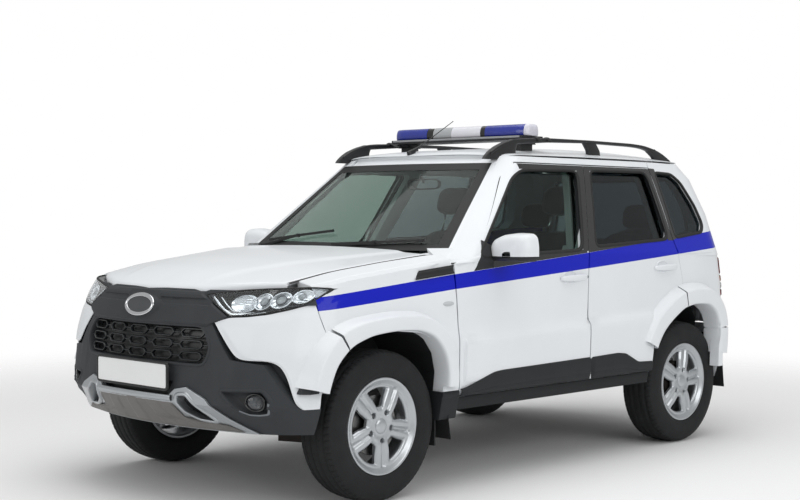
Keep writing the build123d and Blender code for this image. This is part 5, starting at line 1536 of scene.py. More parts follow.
LENS_OUTLINE = [(368, 940), (450, 951), (540, 961), (640, 969), (720, 973), (780, 976), (815, 970),
                (800, 934), (782, 908), (745, 888), (680, 868), (600, 856), (522, 850)]
REFLECTORS = [
    # x, z, half width, half height, rim height, depth, ribs
    (566, 905, 60, 37, -10, 30, 1.6), (640, 915, 34, 34, -16, 22, 0.0), (704, 922, 33, 33, -8, 26, 0.0),
              (763, 938, 25, 27, -6, 16, 1.0),
]
LAMP_BOX = moulded("gloss_black_lamp_box", "#101214", "#17191B", 0.22, 6.0, 0.01)
for side, sign in SIDES:
    grid = lens_map()
    lens = skin_at(grid[..., 0], grid[..., 1], 2.0, sign)
    sheet("headlamp_lens_" + side, lens, LAMP_CLEAR, "body", (sign, -1, 0), wall=2.5)
    u, v = np.linspace(0, 1, grid.shape[1])[None, :], np.linspace(0, 1, grid.shape[0])[:, None]
    near = np.minimum(np.minimum(u, 1 - u) / 0.03, np.minimum(v, 1 - v) / 0.07)
    box_grid = skin_at(grid[..., 0], grid[..., 1], -2.0 - 44.0 * smooth_step(near), sign)
    sheet("headlamp_box_" + side, box_grid, LAMP_BOX, "body", (sign, -1, 0),
          stands_for=("headlamps",) if sign > 0 else ())
    plated, pattern = [], []
    for k, (x, z, rx, rz, rim, depth, ribs) in enumerate(REFLECTORS):
        px, pz, height = bowl(x, z, rx, rz, rim, depth, ribs=ribs)
        p = nose_point(px * sign, pz, height)
        plated.append(tube(p))
        if k:
            a = angles(40)
            circle = np.stack([x + rx * np.cos(a), z + rz * np.sin(a)], -1)
            rim_path = circle * (sign, 1)
            plated.append(tube_part(rim_path, True, 3.0, 3.5, rim + 1.0, 8))
            px, pz, height = bowl(x, z, rx * 0.5, rz * 0.5, rim - 6, -10.0, rings=8)
            p = nose_point(px * sign, pz, height - 8)
            pattern.append(tube(p))
    joined_piece("headlamp_reflectors_" + side, plated, CHROME, "body", weld=0.02, auto=60)
    joined_piece("headlamp_bulbs_" + side, pattern, PALE_PLASTIC, "body", weld=0.02)
    strip = [(396, 936), (430, 914), (476, 880), (516, 860), (560, 861), (620, 866), (668, 874)]
    strip = eased(np.array(strip, float), 60, 1.0)
    spine = strip * (sign, 1)
    joined_piece("headlamp_strip_" + side, [tube_part(spine, False, 5.0, 3.0, -9.0, 8)], CHROME, "body",
                 weld=0.02)
    inner = eased(np.array([(440, 930), (480, 900), (518, 874), (536, 872)], float), 30, 1.0) * (sign, 1)
    joined_piece("headlamp_inner_strip_" + side, [tube_part(inner, False, 3.0, 3.0, -16.0, 8)], CHROME,
                 "body", weld=0.02)
    nose_rim("headlamp_seal_" + side, LENS_OUTLINE,
             [(4.0, -2), (3.5, 1.6), (0.5, 3.2), (-2.0, 2.6), (-2.6, 0)], SEAL, side=sign, n=200, radius=1.6)
print("headlamps 2, reflectors", len(REFLECTORS))

# %% [markdown]
# ## Skid plate, fog lamps and number plate frame
# The skid plate is silver-painted plastic with a rolled rim round each towing eye. The fog
# lamps sit deep in the bumper beside a smooth bezel.

# %% Skid plate eyes and fog lamps
EYE = [(300, 500), (350, 505), (440, 418), (462, 394), (380, 400), (318, 430), (296, 470)]
FOG = [(522, 532), (700, 540), (728, 500), (716, 440), (640, 432), (590, 462)]
FOG_CENTRE = (672, 490)
INTAKE = [(-236, 490), (236, 490), (268, 562), (-268, 562)]
for side, sign in SIDES:
    nose_rim("skid_eye_rim_" + side, EYE,
             [(17, 10.0), (14, 17.3), (9, 21.0), (4, 22.2), (0, 21.0), (-2, 12), (-3, -8), (-5, -34)], SILVER,
             side=sign, radius=3.0, bevel=0)
    hole, s = nose_fill(EYE, 90, 12, 3.0, 0.0)
    sheet("skid_eye_back_" + side, nose_point(hole[..., 0] * sign, hole[..., 1], -30.0), SATIN_BLACK, "body",
          (0, -1, 0), close_cols=True)
    nose_rim("fog_bezel_" + side, FOG,
             [(13, 0.8), (11, 3.0), (4, 4.2), (0, 2.5), (-4, -6), (-13, -26), (-30, -32)], GRAINED, side=sign,
             radius=2.6)
    hole, s = nose_fill(FOG, 90, 12, 3.0, 20.0)
    sheet("fog_back_" + side, nose_point(hole[..., 0] * sign, hole[..., 1], -32.0), SATIN_BLACK, "body",
          (0, -1, 0), close_cols=True, stands_for=("fog_lamps",) if sign > 0 else ())
    parts, lenses = [], []
    a = angles(48)[None]
    for profile, store in (([(41, -32), (41, -8), (38, -5), (34, -7), (33, -22)], parts),
                           ([(33.5, -14), (26, -9.5), (14, -7), (0.1, -6)], lenses),
                           ([(33, -22), (24, -28), (10, -31), (0.1, -31)], parts)):
        r, h = (np.array(profile)[:, k][:, None] for k in (0, 1))
        p = nose_point((FOG_CENTRE[0] + r * np.cos(a)) * sign, FOG_CENTRE[1] + r * np.sin(a), h)
        store.append(tube(p))
    joined_piece("fog_tube_" + side, parts[:1], GLOSS_BLACK, "body", weld=0.02)
    joined_piece("fog_reflector_" + side, parts[1:], DARK_ALLOY, "body", weld=0.02)
    joined_piece("fog_lens_" + side, lenses, LAMP_CLEAR, "body", weld=0.02)
    lip = eased(np.array([(604, 452), (640, 436), (680, 435), (712, 441), (722, 462), (724, 490)], float), 50,
                1.5) * (sign, 1)
    joined_piece("fog_lip_" + side, [tube_part(lip, False, 4.0, 3.0, 2.5, 8)], GREY_PLASTIC, "body",
                 weld=0.02)
hole, s = nose_fill(INTAKE, 90, 12, 2.0, -4.0)
sheet("intake_back", nose_point(hole[..., 0], hole[..., 1], -24.0), SATIN_BLACK, "body", (0, -1, 0),
      close_cols=True)

# %% [markdown]
# ## Skid ribs and plate frames
# The lower bar of the nose has soft ribs. The number plates are plain plates in thin frames.

# %% Skid ribs and plate frames
SKID_GREY = moulded("dark_moulded_skid_face", "#666462", "#74716E", 0.5, 3.0, 0.05)
SLOT_OF[SKID_GREY.name] = "silver_plastic"
SKID_Z = (352, 478)
v = np.linspace(0, 1, 16)[:, None]
s = np.linspace(-1, 1, 161)[None, :]
z = SKID_Z[0] + (SKID_Z[1] - SKID_Z[0]) * v
x = s * np.interp(z, [352, 382, 398, 478], [575, 500, 296, 262])
ribs = smooth_step((np.cos(x / (92 - 24 * v) * math.pi) + 0.35) / 0.7)
relief = 1.2 + 5.0 * ribs * smooth_step((0.90 - v) / 0.1) * smooth_step(v / 0.1) * (np.abs(s) < 0.97)
sheet("skid_face", nose_point(x, z, 17.0 + relief), SKID_GREY, "body", (0, -1, 0), wall=2.0)
bar_path = np.stack([np.linspace(-268, 268, 60), np.full(60, 487.0)], -1)
joined_piece("skid_bar", [tube_part(bar_path, False, 14.0, 6.0, 19.0, 14)], SILVER, "body", weld=0.02)


def plate_frame(y, outward, z0, z1, half):
    """Rows from the plate's border round the frame's rounded rim and back."""
    corners = [(-half, z0), (half, z0), (half, z1), (-half, z1)]
    rings = [closed_ring(corners, 160, 1.2, d) for d in (-4.0, -3.5, 5.0, 7.5, 8.0)]
    depth = [0.0, 1.4, 1.4, 0.4, -7.0]
    return np.stack([np.stack([r[:, 0], np.full(160, y + outward * k), r[:, 1]], -1) for r,
                     k in zip(rings, depth)])


sheet("front_plate_frame", plate_frame(-772, -1, 524, 636, 260), SATIN_BLACK, "body", (0, -1, 0),
      close_cols=True)
sheet("rear_plate_frame", plate_frame(3028, 1, 480, 592, 260), SATIN_BLACK, "body", (0, 1, 0),
      close_cols=True)
print("lower front done")


# %% [markdown]
# ## Bonnet, wings and bumper corners
# These are the panels whose crown the eye follows first. The bonnet is drawn in plan and
# lifted to the deck height; a soft raised middle gives it its two creases. The wings are
# drawn from the side and the corners from the front, all on the same skin.

# %% Bonnet
BONNET_EDGE = [(0, -666), (180, -654), (345, -630), (505, -554), (620, -478), (672, -436)]
BONNET_SIDE = [(672, -436), (688, -200), (704, 100), (736, 372)]


def bonnet_height(x, y, edge):
    """Deck height, plus a raised middle whose sides are the creases, rolled down over the last 14 mm
    at the edge."""
    crease = np.interp(y, [-640, -400, 0, 374], [330, 400, 500, 610])
    middle = 7.0 * smooth_step((crease - np.abs(x)) / 70) * smooth_step((y + 700) / 260)
    roll = 13.0 * (1 - np.clip(edge / 16.0, 0, 1)) ** 2
    return deck_z(x, y) + 2.0 + middle - roll


front = np.array([(-x, y) for x, y in BONNET_EDGE[::-1]] + BONNET_EDGE[1:], float)
front = eased(front, 105, 3.0)
side_line = eased(BONNET_SIDE, 83, 2.25)
rear = np.stack([np.linspace(-736, 736, 105), np.full(105, 370.0)], -1)
plan = coons(front, rear, side_line * (-1, 1), side_line)
step = np.linalg.norm(np.diff(plan, axis=0), axis=-1)
along_y = np.concatenate([np.zeros((1, 105)), np.cumsum(step, 0)])
across_x = np.abs(np.interp(plan[..., 1], side_line[:, 1], side_line[:, 0]) - np.abs(plan[..., 0]))
edge = np.minimum(along_y, np.where(plan[..., 1] > -430, across_x, 99.0))
z = bonnet_height(plan[..., 0], plan[..., 1], edge)
grid = np.concatenate([plan, z[..., None]], -1)
skirt = grid[:1] + np.array([0, 3.0, -20.0])
sheet("bonnet_skin", np.concatenate([skirt, grid]), PAINT_PLAIN, "bonnet", (0, 0, 1), wall=1.5, bevel=0.6)
for side, sign in SIDES:
    y = np.linspace(-432, 368, 90)[None]
    inner = np.interp(y, side_line[:, 1], side_line[:, 0]) - 5
    outer = np.interp(y, [-440, -200, 100, 374], [685, 697, 713, 745]) + 4
    x = inner + (outer - inner) * np.linspace(0, 1, 5)[:, None]
    # a black band laid over the shut gap beside the bonnet: painted shade of the gap
    gap_shade_band = xyz(x, y, deck_z(x, y) + 0.6) * (sign, 1, 1)
    sheet("bonnet_gap_painted_shade_" + side, gap_shade_band, SEAL, "body", (0, 0, 1), wall=0)
print("bonnet", grid.shape)

# %% [markdown]
# ## Wings
# A wing's side is a patch on the body's skin. From there rows of points run over a round shoulder
# and along the sloping top to the bonnet's gap, so side and top are one sheet.

# %% Wings
WING_LOW = [(-292, 700), (-262, 722), (-130, 762), (20, 774), (180, 768), (278, 732), (345, 650), (368, 560),
            (362, 446)]
WING_SHUT = [(-292, 700), (-358, 790), (-376, 860), (-381, 905)]
# the wing's top line in plan beside the bonnet: x at y
WING_TOP = ([-440, -200, 100, 374, 463], [685, 697, 713, 745, 762])


def side_u(y, z):
    """Outline number of the side at y and height z."""
    return find_u(lower_xy, LOWER_Z, 1, y, z, 40, 440)


def wing_points(rows=46, cols=120):
    """Lower part as a Coons patch on the side skin; upper part from the shoulder in to the bonnet line
    at deck height."""
    low = eased(WING_LOW, cols, 1.5)
    y_top = np.linspace(-381, 463, cols)
    x_line = np.interp(y_top, *WING_TOP)
    shoulder = np.interp(y_top, [-381, -200, 100, 463], [906, 955, 985, 1003])
    top = np.stack([y_top, shoulder], -1)
    left = eased(WING_SHUT, rows, 1.5)
    left[-1] = top[0]
    right = along([(362, 446), (463, 446), (463, 700), (463, 1003)], rows)
    flat = coons(low, top, left, right)
    y, z = flat[..., 0], flat[..., 1]
    lower = np.stack([wing_x(y, z) + 1.8, y, z], -1)
    t = np.linspace(0, 1, 22)[1:, None]
    x0, z0 = wing_x(y_top, shoulder) + 1.8, shoulder
    # a round run over the shoulder, then straight along the deck
    x = x0 + (x_line - x0) * t ** 1.2
    z_deck = deck_z(x, y_top[None]) + 1.5
    upper = xyz(x, y_top[None], z0 + (z_deck - z0) * smooth_step(t / 0.45))
    grid = np.concatenate([lower, upper])
    for _ in range(10):
        grid[rows - 4:rows + 9] = (grid[rows - 5:rows + 8] + 2 * grid[rows - 4:rows + 9]
                                   + grid[rows - 3:rows + 10]) / 4
    return grid


wing_grid = wing_points()
for side, sign in SIDES:
    side_sheet("wing_skin_" + side, wing_grid, PAINT, "body", sign, wall=3.5, bevel=0.8)
print("wings", wing_grid.shape)

# %% [markdown]
# ## Bumper corners
# The corner joins the nose to the arch. It is a patch in outline number and height.

# %% Bumper corners
CORNER_INNER = [(812, 462), (803, 474), (791, 528), (774, 600), (752, 652), (718, 668), (616, 669),
                (584, 678), (520, 750), (455, 822)]
CORNER_TOP = [(455, 822), (480, 832), (522, 845), (600, 850), (680, 862), (745, 882), (793, 904)]
corner_cols, corner_rows = 56, 48
inner = eased(CORNER_INNER, corner_rows, 1.6)
inner = numbered(inner, nose_u)
top = eased(CORNER_TOP, corner_cols, 1.5)
top = numbered(top, nose_u)
shut = eased([(-404, 462), (-401, 520), (-352, 640), (-304, 694), (-366, 790), (-384, 860), (-389, 905)],
             corner_rows, 1.5)
shut = numbered(shut, side_u)
top[0], top[-1] = inner[-1], shut[-1]
bottom = along([inner[0], shut[0]], corner_cols)
corner = coons(bottom, top, inner, shut)
u, v = np.linspace(0, 1, corner_cols)[None], np.linspace(0, 1, corner_rows)[:, None]
crease = 6.0 * smooth_step(u / 0.10) * smooth_step((1.02 - v) / 0.10)
for side, sign in SIDES:
    sheet("bumper_corner_skin_" + side,
          skin_at(corner[..., 0], corner[..., 1], 2.0 + crease - 5.0 * smooth_step((u - 0.5) / 0.4), sign),
          PAINT_PLAIN, "body", (sign, -0.6, 0), wall=3.5, bevel=0.8)
print("corners", corner.shape)

# %% [markdown]
# ## Pillars, cantrail and rear quarters
# The fixed side of the body above the belt is one pressing on a real car. Here it is three
# grids on the glasshouse skin: the windscreen pillar, the rail over the doors, and the
# quarter, which is a ring round its window.


# %% Fixed side
def upper_at(u, z, out=0.0, side=1.0):
    """As skin_at, for the glasshouse."""
    return skin_at(u, z, out, side, upper_xy, UPPER_Z)


DOOR_LEAD = rounded([(540, 1060), (602, 1062), (1040, 1497), (1146, 1561), (1240, 1563)], 200, 7.0)
pillar_z = np.linspace(1066, 1592, 90)
lead_y = np.interp(pillar_z, DOOR_LEAD[:150, 1], DOOR_LEAD[:150, 0])
lead_y = lead_y + 6.0 + 104.0 * smooth_step((pillar_z - 1484) / 44)
lead_y = np.where(pillar_z > 1558, 1150 + (pillar_z - 1558) * 1.0, lead_y)
u_right = find_u(upper_xy, UPPER_Z, 1, lead_y, pillar_z, 50, 200)
t = np.linspace(0, 1, 26)[None, :]
u_grid = 60.6 + (u_right[:, None] - 60.6) * t
for side, sign in SIDES:
    pillar = upper_at(u_grid, pillar_z[:, None], 1.9 - 1.2 * smooth_step((t - 0.86) / 0.06), sign)
    sheet("screen_pillar_" + side, pillar, PAINT_PLAIN, "body", (sign, -0.5, 0.2), wall=3.0, bevel=0.8)
    low = np.stack([np.linspace(1146, 2343, 120), np.full(120, 1562.0)], -1)
    high = np.stack([np.linspace(1128, 2343, 120), np.full(120, 1592.0)], -1)
    flat = patch(low, high, 9)
    side_sheet("cantrail_" + side, lift_side(flat, upper_side_x, 2.0), PAINT_PLAIN, "body", sign, wall=3.0,
               bevel=0.8)
    # quarter above the belt: ring round the window
    outer = [(2376, 1075), (2361, 1165), (2361, 1400), (2345, 1592), (2440, 1592), (2530, 1590), (2625, 1572),
             (2690, 1470), (2735, 1330), (2758, 1200), (2764, 1075), (2600, 1075)]
    ring_in = [(2392, 1168), (2391, 1260), (2392, 1400), (2392, 1532), (2470, 1530), (2560, 1526),
               (2628, 1480), (2668, 1410), (2700, 1350), (2726, 1240), (2690, 1196), (2540, 1182)]
    ring = ring_map(outer, ring_in, 9, 20)
    side_sheet("quarter_upper_" + side, lift_side(ring, side_x, 2.0), PAINT, "body", sign, wall=3.0,
               bevel=0.8, close_cols=True)
print("fixed side 6")


# %% [markdown]
# ## Black trim over the belt
# On the real doors the frames between paint and glass are hidden under black film and
# acrylic. So each door gets a belt strip over the stripe, a strip along its top edge, and
# a small sail that carries the mirror.

# %% Belt strips, door tops and vents
def stripe_top(y):
    """Upper line of the belt stripe."""
    d = y - STRIPE_BEND_Y
    return STRIPE_TOP[0] + STRIPE_TOP[2] * d + (STRIPE_TOP[1] - STRIPE_TOP[2]) * np.minimum(d, 0)


def strip_map(low, high, n=90, rows=7):
    """A (y, z) patch between two drawn lines."""
    return patch(along(low, n), along(high, n), rows)


BELTS = [
    # name, lower line, upper line, body
    ("front", [(604, stripe_top(604) + 1), (1506, stripe_top(1506) + 1)],
     [(676, 1091), (690, 1093), (1474, 1112), (1508, 1114)], "door_front_"),
    ("rear", [(1522, stripe_top(1522) + 1), (2350, stripe_top(2350) - 1)],
     [(1534, 1128), (2306, 1161), (2350, 1163)], "door_rear_"),
    ("quarter", [(2362, stripe_top(2362) + 1), (2660, stripe_top(2660) - 2)],
     [(2362, 1168), (2392, 1169), (2660, 1190)], "body"),
    ("top_front", [(1160, 1526), (1640, 1527), (1694, 1527)], [(1160, 1554), (1706, 1554)], "door_front_"),
    ("top_rear", [(1706, 1529), (1758, 1529), (2288, 1532), (2338, 1532)], [(1718, 1554), (2334, 1554)],
     "door_rear_"),
]
for side, sign in SIDES:
    for name, low, high, body in BELTS:
        side_panel("belt_strip_%s_%s" % (name, side), strip_map(low, high), GLOSS_BLACK, on_side(body, side),
                   sign, 3.8, 2.5, 0.6)
    vent = patch(along([(200, 993), (462, 1016)], 40), along([(228, 1035), (462, 1057)], 40), 14)
    v = np.linspace(0, 1, 14)[:, None]
    u = np.linspace(0, 1, 40)[None, :]
    lip = 3.0 + 4.0 * smooth_step((0.30 - np.minimum(v, 1 - v)) / 0.14) + 0 * u
    y, z = vent[..., 0], vent[..., 1]
    side_sheet("wing_vent_" + side, np.stack([wing_x(y, z) + lip, y, z], -1), SATIN_BLACK, "body", sign,
               wall=4.0, bevel=0.8)
    a, r = angles(40)[None], np.linspace(1, 0.001, 9)[:, None]
    ry, rz = 408 + 39 * r * np.cos(a), 877 + 12 * r * np.sin(a)
    lens = xyz(lower_side_x(ry, rz) + 1.5 + 8.0 * (1 - r ** 2.4), ry, rz)
    side_sheet("side_repeater_" + side, lens, PALE_PLASTIC, "body", sign, close_cols=True)
    end_y = np.concatenate([[347, 347, 347, 347.5, 349], np.linspace(356, 463, 16)])[None]
    inward = np.concatenate([[-95, -60, -28, -8, -1.5], np.zeros(16)])[None]
    z = np.array([336, 342, 380, 400, 434, 440, 446, 456, 466, 471])[:, None]
    rise = np.array([0, 6, 8, 8, 9, 8, 12, 12, 9, 1.5])[:, None]
    end = xyz(lower_side_x(end_y, np.maximum(z, 350)) + rise + inward, end_y, z)
    # the end cladding's darker colour is painted shade
    side_sheet("wing_end_cladding_" + side, end, CLADDING_PAINTED_SHADE, "body", sign, wall=3.0, bevel=0.8)
    fx, fz = np.linspace(700, 852, 20)[None], np.linspace(456, 240, 26)[:, None]
    hang = xyz(fx, 398 + 26 * ((456 - fz) / 216) ** 1.5, fz)
    side_sheet("front_mud_flap_" + side, hang, RUBBER, "body", sign, wall=5.0, bevel=1.0)
print("belts", len(BELTS) * 2)

# %% [markdown]
# ## Door mirrors
# A mirror is a white cap over a black lower shell, flat behind with a silvered glass. Each
# shell is an outline that shrinks towards the front as a superellipse, so it closes in a
# smooth nose. Both halves shrink about one level line, and so keep their seam.

# %% Door mirrors
MIRROR_CAP = [(800, 1093), (798, 1146), (818, 1174), (872, 1196), (950, 1205), (1016, 1202), (1038, 1184),
              (1046, 1140), (1046, 1093)]
MIRROR_FOOT = [(1046, 1090), (1043, 1076), (1020, 1067), (840, 1068), (802, 1074), (800, 1090)]
MIRROR_MIDDLE = (930.0, 1091.5)


def mirror_shell(outline, y_back=832.0, depth=104.0, rows=22, n=90):
    """Row k: the outline scaled by (1 - t^2.6)^(1/2.6) about the middle, at y = back - depth * t; then
    a flat back."""
    line = rounded(outline, n, 2.0)
    line = np.concatenate([line, along([line[-1], line[0]], 24)[1:-1]])
    t = np.linspace(0, 0.999, rows)[:, None]
    s = (1 - t ** 3.6) ** (1 / 3.6)
    x = MIRROR_MIDDLE[0] + (line[None, :, 0] - MIRROR_MIDDLE[0]) * s
    z = MIRROR_MIDDLE[1] + (line[None, :, 1] - MIRROR_MIDDLE[1]) * s
    shell = np.stack([x, y_back - depth * t + 0 * x, z], -1)
    k = np.array([0.0, 0.5, 0.96])[:, None, None]
    centre = np.array([line[:, 0].mean(), y_back - 3.0, line[:, 1].mean()])
    back = centre * (1 - k) + (shell[0] - (0, 3, 0)) * k
    return np.concatenate([back, shell])


for side, sign in SIDES:
    for name, outline, material, nodes in (("cap", MIRROR_CAP, PAINT_PLAIN, ("mirror_" + side,)),
                                           ("foot", MIRROR_FOOT, DARK_TRIM, ())):
        g = mirror_shell(outline)
        g[..., 0] *= sign
        joined_piece("mirror_%s_%s" % (name, side), [tube(g)], material, "door_front_" + side, nodes,
                     weld=0.05, auto=50)
    line = rounded([(812, 1084), (810, 1146), (828, 1168), (878, 1188), (1014, 1192), (1030, 1176),
                    (1036, 1140), (1034, 1084)], 80, 2.0, closed=True)
    k = np.linspace(1, 0.01, 6)[:, None, None]
    flat = line.mean(0) * (1 - k) + line[None] * k
    side_sheet("mirror_glass_" + side,
               np.stack([flat[..., 0], np.full(flat.shape[:2], 833.4), flat[..., 1]], -1), CHROME,
               "door_front_" + side, sign, close_cols=True)
    arm = loft_tube([(806, 752, 1079), (806, 764, 1079), (806, 800, 1079), (806, 812, 1079)],
                    [(24, 4), (30, 7), (30, 7), (24, 4)], 24)
    arm[..., 0] *= sign
    joined_piece("mirror_arm_" + side, [tube(arm)], DARK_TRIM, "door_front_" + side, weld=0.02)
    sail = patch(along([(y, stripe_top(y) + 2) for y in (612, 748)], 30),
                 along([(662, 1098), (704, 1170), (748, 1146)], 30), 14)
    side_panel("mirror_sail_" + side, sail, DARK_TRIM, "door_front_" + side, sign, 5.0, 4.0, 0.8)
print("mirrors 2")

# %% [markdown]
# ## Roof rails, light bar and aerial
# A rail is a long bar on three feet. The bar is lofted along the car and the feet upwards.
# The light bar has an aluminium beam, black feet, and ribbed lenses split by black
# dividers: blue outside, clear and white in the middle, pale caps at its rounded ends.

# %% Roof rails
RAIL_X, RAIL_HALF = 540.0, 17.5          # a rail's middle, and half its width
RAIL_TOP = ([1050, 1090, 1176, 1296, 1526, 1902, 2306, 2433, 2563, 2640, 2694],
            [1612, 1638, 1671, 1690, 1700, 1702, 1699, 1692, 1668, 1640, 1612])
RAIL_DEEP = ([1050, 1150, 1320, 1550, 1850, 2380, 2560, 2694], [18, 26, 30, 24, 18, 20, 28, 16])
RAIL_FEET = [
    # z, then front and rear edge
    ([1574, 1590, 1612, 1640, 1664, 1682], [1004, 1016, 1044, 1092, 1160, 1230],
     [1262, 1262, 1263, 1266, 1278, 1310]),
    ([1590, 1610, 1646, 1686], [1896, 1893, 1886, 1850], [2010, 2006, 1998, 1962]),
    ([1570, 1600, 1630, 1652, 1674], [2552, 2546, 2520, 2480, 2440], [2704, 2694, 2640, 2590, 2540]),
]


def post(levels, front, rear, half_x, lean_x, count=32, rows=24):
    """A closed post: at height z a superellipse from its front edge to its rear edge."""
    z = np.linspace(levels[0], levels[-1], rows)
    y0, y1 = np.interp(z, levels, front), np.interp(z, levels, rear)
    y0, y1 = gauss_smooth(y0[:, None], 1.2, 0)[:, 0], gauss_smooth(y1[:, None], 1.2, 0)[:, 0]
    a = angles(count)
    ca, sa = bent(np.cos(a), 0.6), bent(np.sin(a), 0.6)
    x = lean_x + half_x * ca[None] + 0 * z[:, None]
    y = (y0 + y1)[:, None] / 2 + (y1 - y0)[:, None] / 2 * sa[None]
    return capped(xyz(x, y, z[:, None]))


for side, sign in SIDES:
    y = np.linspace(1052, 2690, 140)
    top, deep = np.interp(y, *RAIL_TOP), np.interp(y, *RAIL_DEEP)
    top = gauss_smooth(top[:, None], 2.5, 0)[:, 0]
    centres = np.stack([0 * y + RAIL_X, y, top - deep / 2], -1)
    bar = loft_tube(centres, np.stack([0 * y + RAIL_HALF, deep / 2], -1), 24, 3.2)
    grids = [bar] + [post(*foot, RAIL_HALF, RAIL_X) for foot in RAIL_FEET]
    parts = [tube(g * (sign, 1, 1)) for g in grids]
    joined_piece("roof_rail_" + side, parts, SATIN_BLACK, "body", ("roof_rails",) if sign > 0 else (),
                 weld=0.05, auto=45)
print("rails 2")

# %% [markdown]
# ## Light bar
# The bar is one section swept across the roof. It narrows to its ends, and it is cut into coloured lenses.

# %% Light bar
BLUE_LENS = moulded("ribbed_blue_polycarbonate", "#15247F", "#2236A4", 0.18, 9.0, 0.9, Coat_Weight=0.6,
                    Coat_Roughness=0.04)
CLEAR_LENS = moulded("ribbed_clear_polycarbonate", "#A3A6A8", "#B4B7B9", 0.2, 9.0, 0.8, Coat_Weight=0.6,
                     Coat_Roughness=0.04)
WHITE_LENS = moulded("opal_white_polycarbonate", "#DCDCE4", "#E6E6EC", 0.25, 9.0, 0.3, Coat_Weight=0.5,
                     Coat_Roughness=0.05)
CAP_LENS = moulded("pale_opal_end_cap", "#D4D4E0", "#DEDEE8", 0.28, 9.0, 0.1, Coat_Weight=0.5,
                   Coat_Roughness=0.05)
SLOT_OF.update({m.name: "bar_lens" for m in (BLUE_LENS, CLEAR_LENS, WHITE_LENS, CAP_LENS)})
BAR_Y, BAR_LOW_Z = 1483, 1713          # the bar's middle, and where its lenses start
BAR_SECTION = [(-95, 1713), (95, 1713), (95.5, 1744), (84, 1766), (62, 1775.5), (-62, 1775.5), (-84, 1766),
               (-95.5, 1744)]
BAR_PARTS = [
    # name, x from, x to, finish, size
    ("cap_right", -491, -474, "cap", 1.0), ("blue_right", -473, -226, "blue", 1.0),
             ("divider_right", -226, -178, "black", 0.985),
    ("clear", -177, -42, "clear", 1.0), ("white", -41, 170, "white", 1.0),
             ("divider_left", 170, 202, "black", 0.985),
    ("blue_left", 203, 466, "blue", 1.0), ("cap_left", 467, 491, "cap", 1.0),
]
BAR_FINISH = {"cap": CAP_LENS, "blue": BLUE_LENS, "black": GLOSS_BLACK, "clear": CLEAR_LENS,
              "white": WHITE_LENS}


def bar_piece(x0, x1, size, n=30):
    """The lens section carried along x; past |x| = 420 it narrows, and past 455 it closes to a rounded
    end."""
    section = rounded(BAR_SECTION, 80, 1.6, closed=True)
    x = np.linspace(x0, x1, n)
    t = np.clip((np.abs(x) - 455) / 37, 0, 0.995)
    taper = 0.72 - 0.10 * smooth_step((np.abs(x) - 420) / 60)
    wide, tall = (1 - t ** 2.6) ** (1 / 2.6) * size * taper, (1 - 0.3 * t ** 6) * size
    return capped(xyz(x[:, None], BAR_Y + section[None, :, 0] * wide[:, None],
                      BAR_LOW_Z + (section[None, :, 1] - BAR_LOW_Z) * tall[:, None]))


for k, (name, x0, x1, finish, size) in enumerate(BAR_PARTS):
    joined_piece("light_bar_" + name, [tube(bar_piece(x0, x1, size))], BAR_FINISH[finish], "body",
                 ("light_bar_lenses",) if k == 0 else (), weld=0.05, auto=40)
BEAM_SECTION = [(-94, 1701), (94, 1701), (96, 1703), (96, 1711.5), (-96, 1711.5), (-96, 1703)]
section = rounded(BEAM_SECTION, 120, 0.6, closed=True)
x = np.linspace(-466, 466, 12)
beam = capped(xyz(x[:, None], BAR_Y + section[None, :, 0], section[None, :, 1]))
ANODISED = moulded("satin_anodised_aluminium", "#8A8C8E", "#9A9C9E", 0.38, 3.0, 0.01, Coat_Weight=0.2)
SLOT_OF[ANODISED.name] = "silver_plastic"
joined_piece("light_bar_beam", [tube(beam)], ANODISED, "body", weld=0.05, auto=30)
parts = []
for sign in (1, -1):
    for y in (1440, 1526):
        path = np.array([(404, 1684), (440, 1680), (500, 1686), (532, 1700), (556, 1700), (566, 1680)], float)
        path = eased(path, 40, 2.0)
        a = angles(16)
        g = capped(xyz(path[:, 0, None], y + 15 * np.cos(a)[None], path[:, 1, None] + 5.0 * np.sin(a)[None]))
        parts.append(tube(g * (sign, 1, 1)))
    foot = post([1668, 1676, 1690], [1410, 1416, 1420], [1556, 1550, 1546], 40.0, 424.0 * sign)
    parts.append(tube(foot))
joined_piece("light_bar_clamps", parts, SATIN_BLACK, "body", weld=0.05, auto=45)

# %% [markdown]
# ## Aerial
# A short rod leans back from a round foot on the roof.

# %% Aerial
AERIAL_LENGTH = 415
foot, tip = np.array([0, 1024, 1604.0]), np.array([0, 1389, 1806.0])
axis = (tip - foot) / np.linalg.norm(tip - foot)
across = np.array([1.0, 0, 0])
up = np.cross(axis, across)
t = np.array([0, 0.01, 0.05, 0.12, 0.2, 0.24, 0.26, 0.5, 0.8, 0.985, 0.99, 1.0])
half = np.array([0.1, 9, 13, 10, 6.5, 5.5, 3.2, 2.6, 2.2, 2.0, 3.2, 0.1])
tall = np.array([0.1, 22, 20, 14, 8, 6, 3.2, 2.6, 2.2, 2.0, 3.2, 0.1])
a = angles(20)
wide_part = half[:, None, None] * np.cos(a)[None, :, None] * across
tall_part = tall[:, None, None] * np.sin(a)[None, :, None] * up
g = (foot + axis * AERIAL_LENGTH * t[:, None])[:, None] + wide_part + tall_part
g[..., 2] = np.maximum(g[..., 2], 1598)
joined_piece("aerial", [tube(g)], SATIN_BLACK, "body", ("antenna",), weld=0.02, auto=60)
print("light bar", len(BAR_PARTS))


# %% [markdown]
# ## Roof, rear corner and tail
# The roof is one pressing with a full crown. At the back, the bumper is painted above and
# bare grained plastic below, as it is where stones and loading would chip paint.

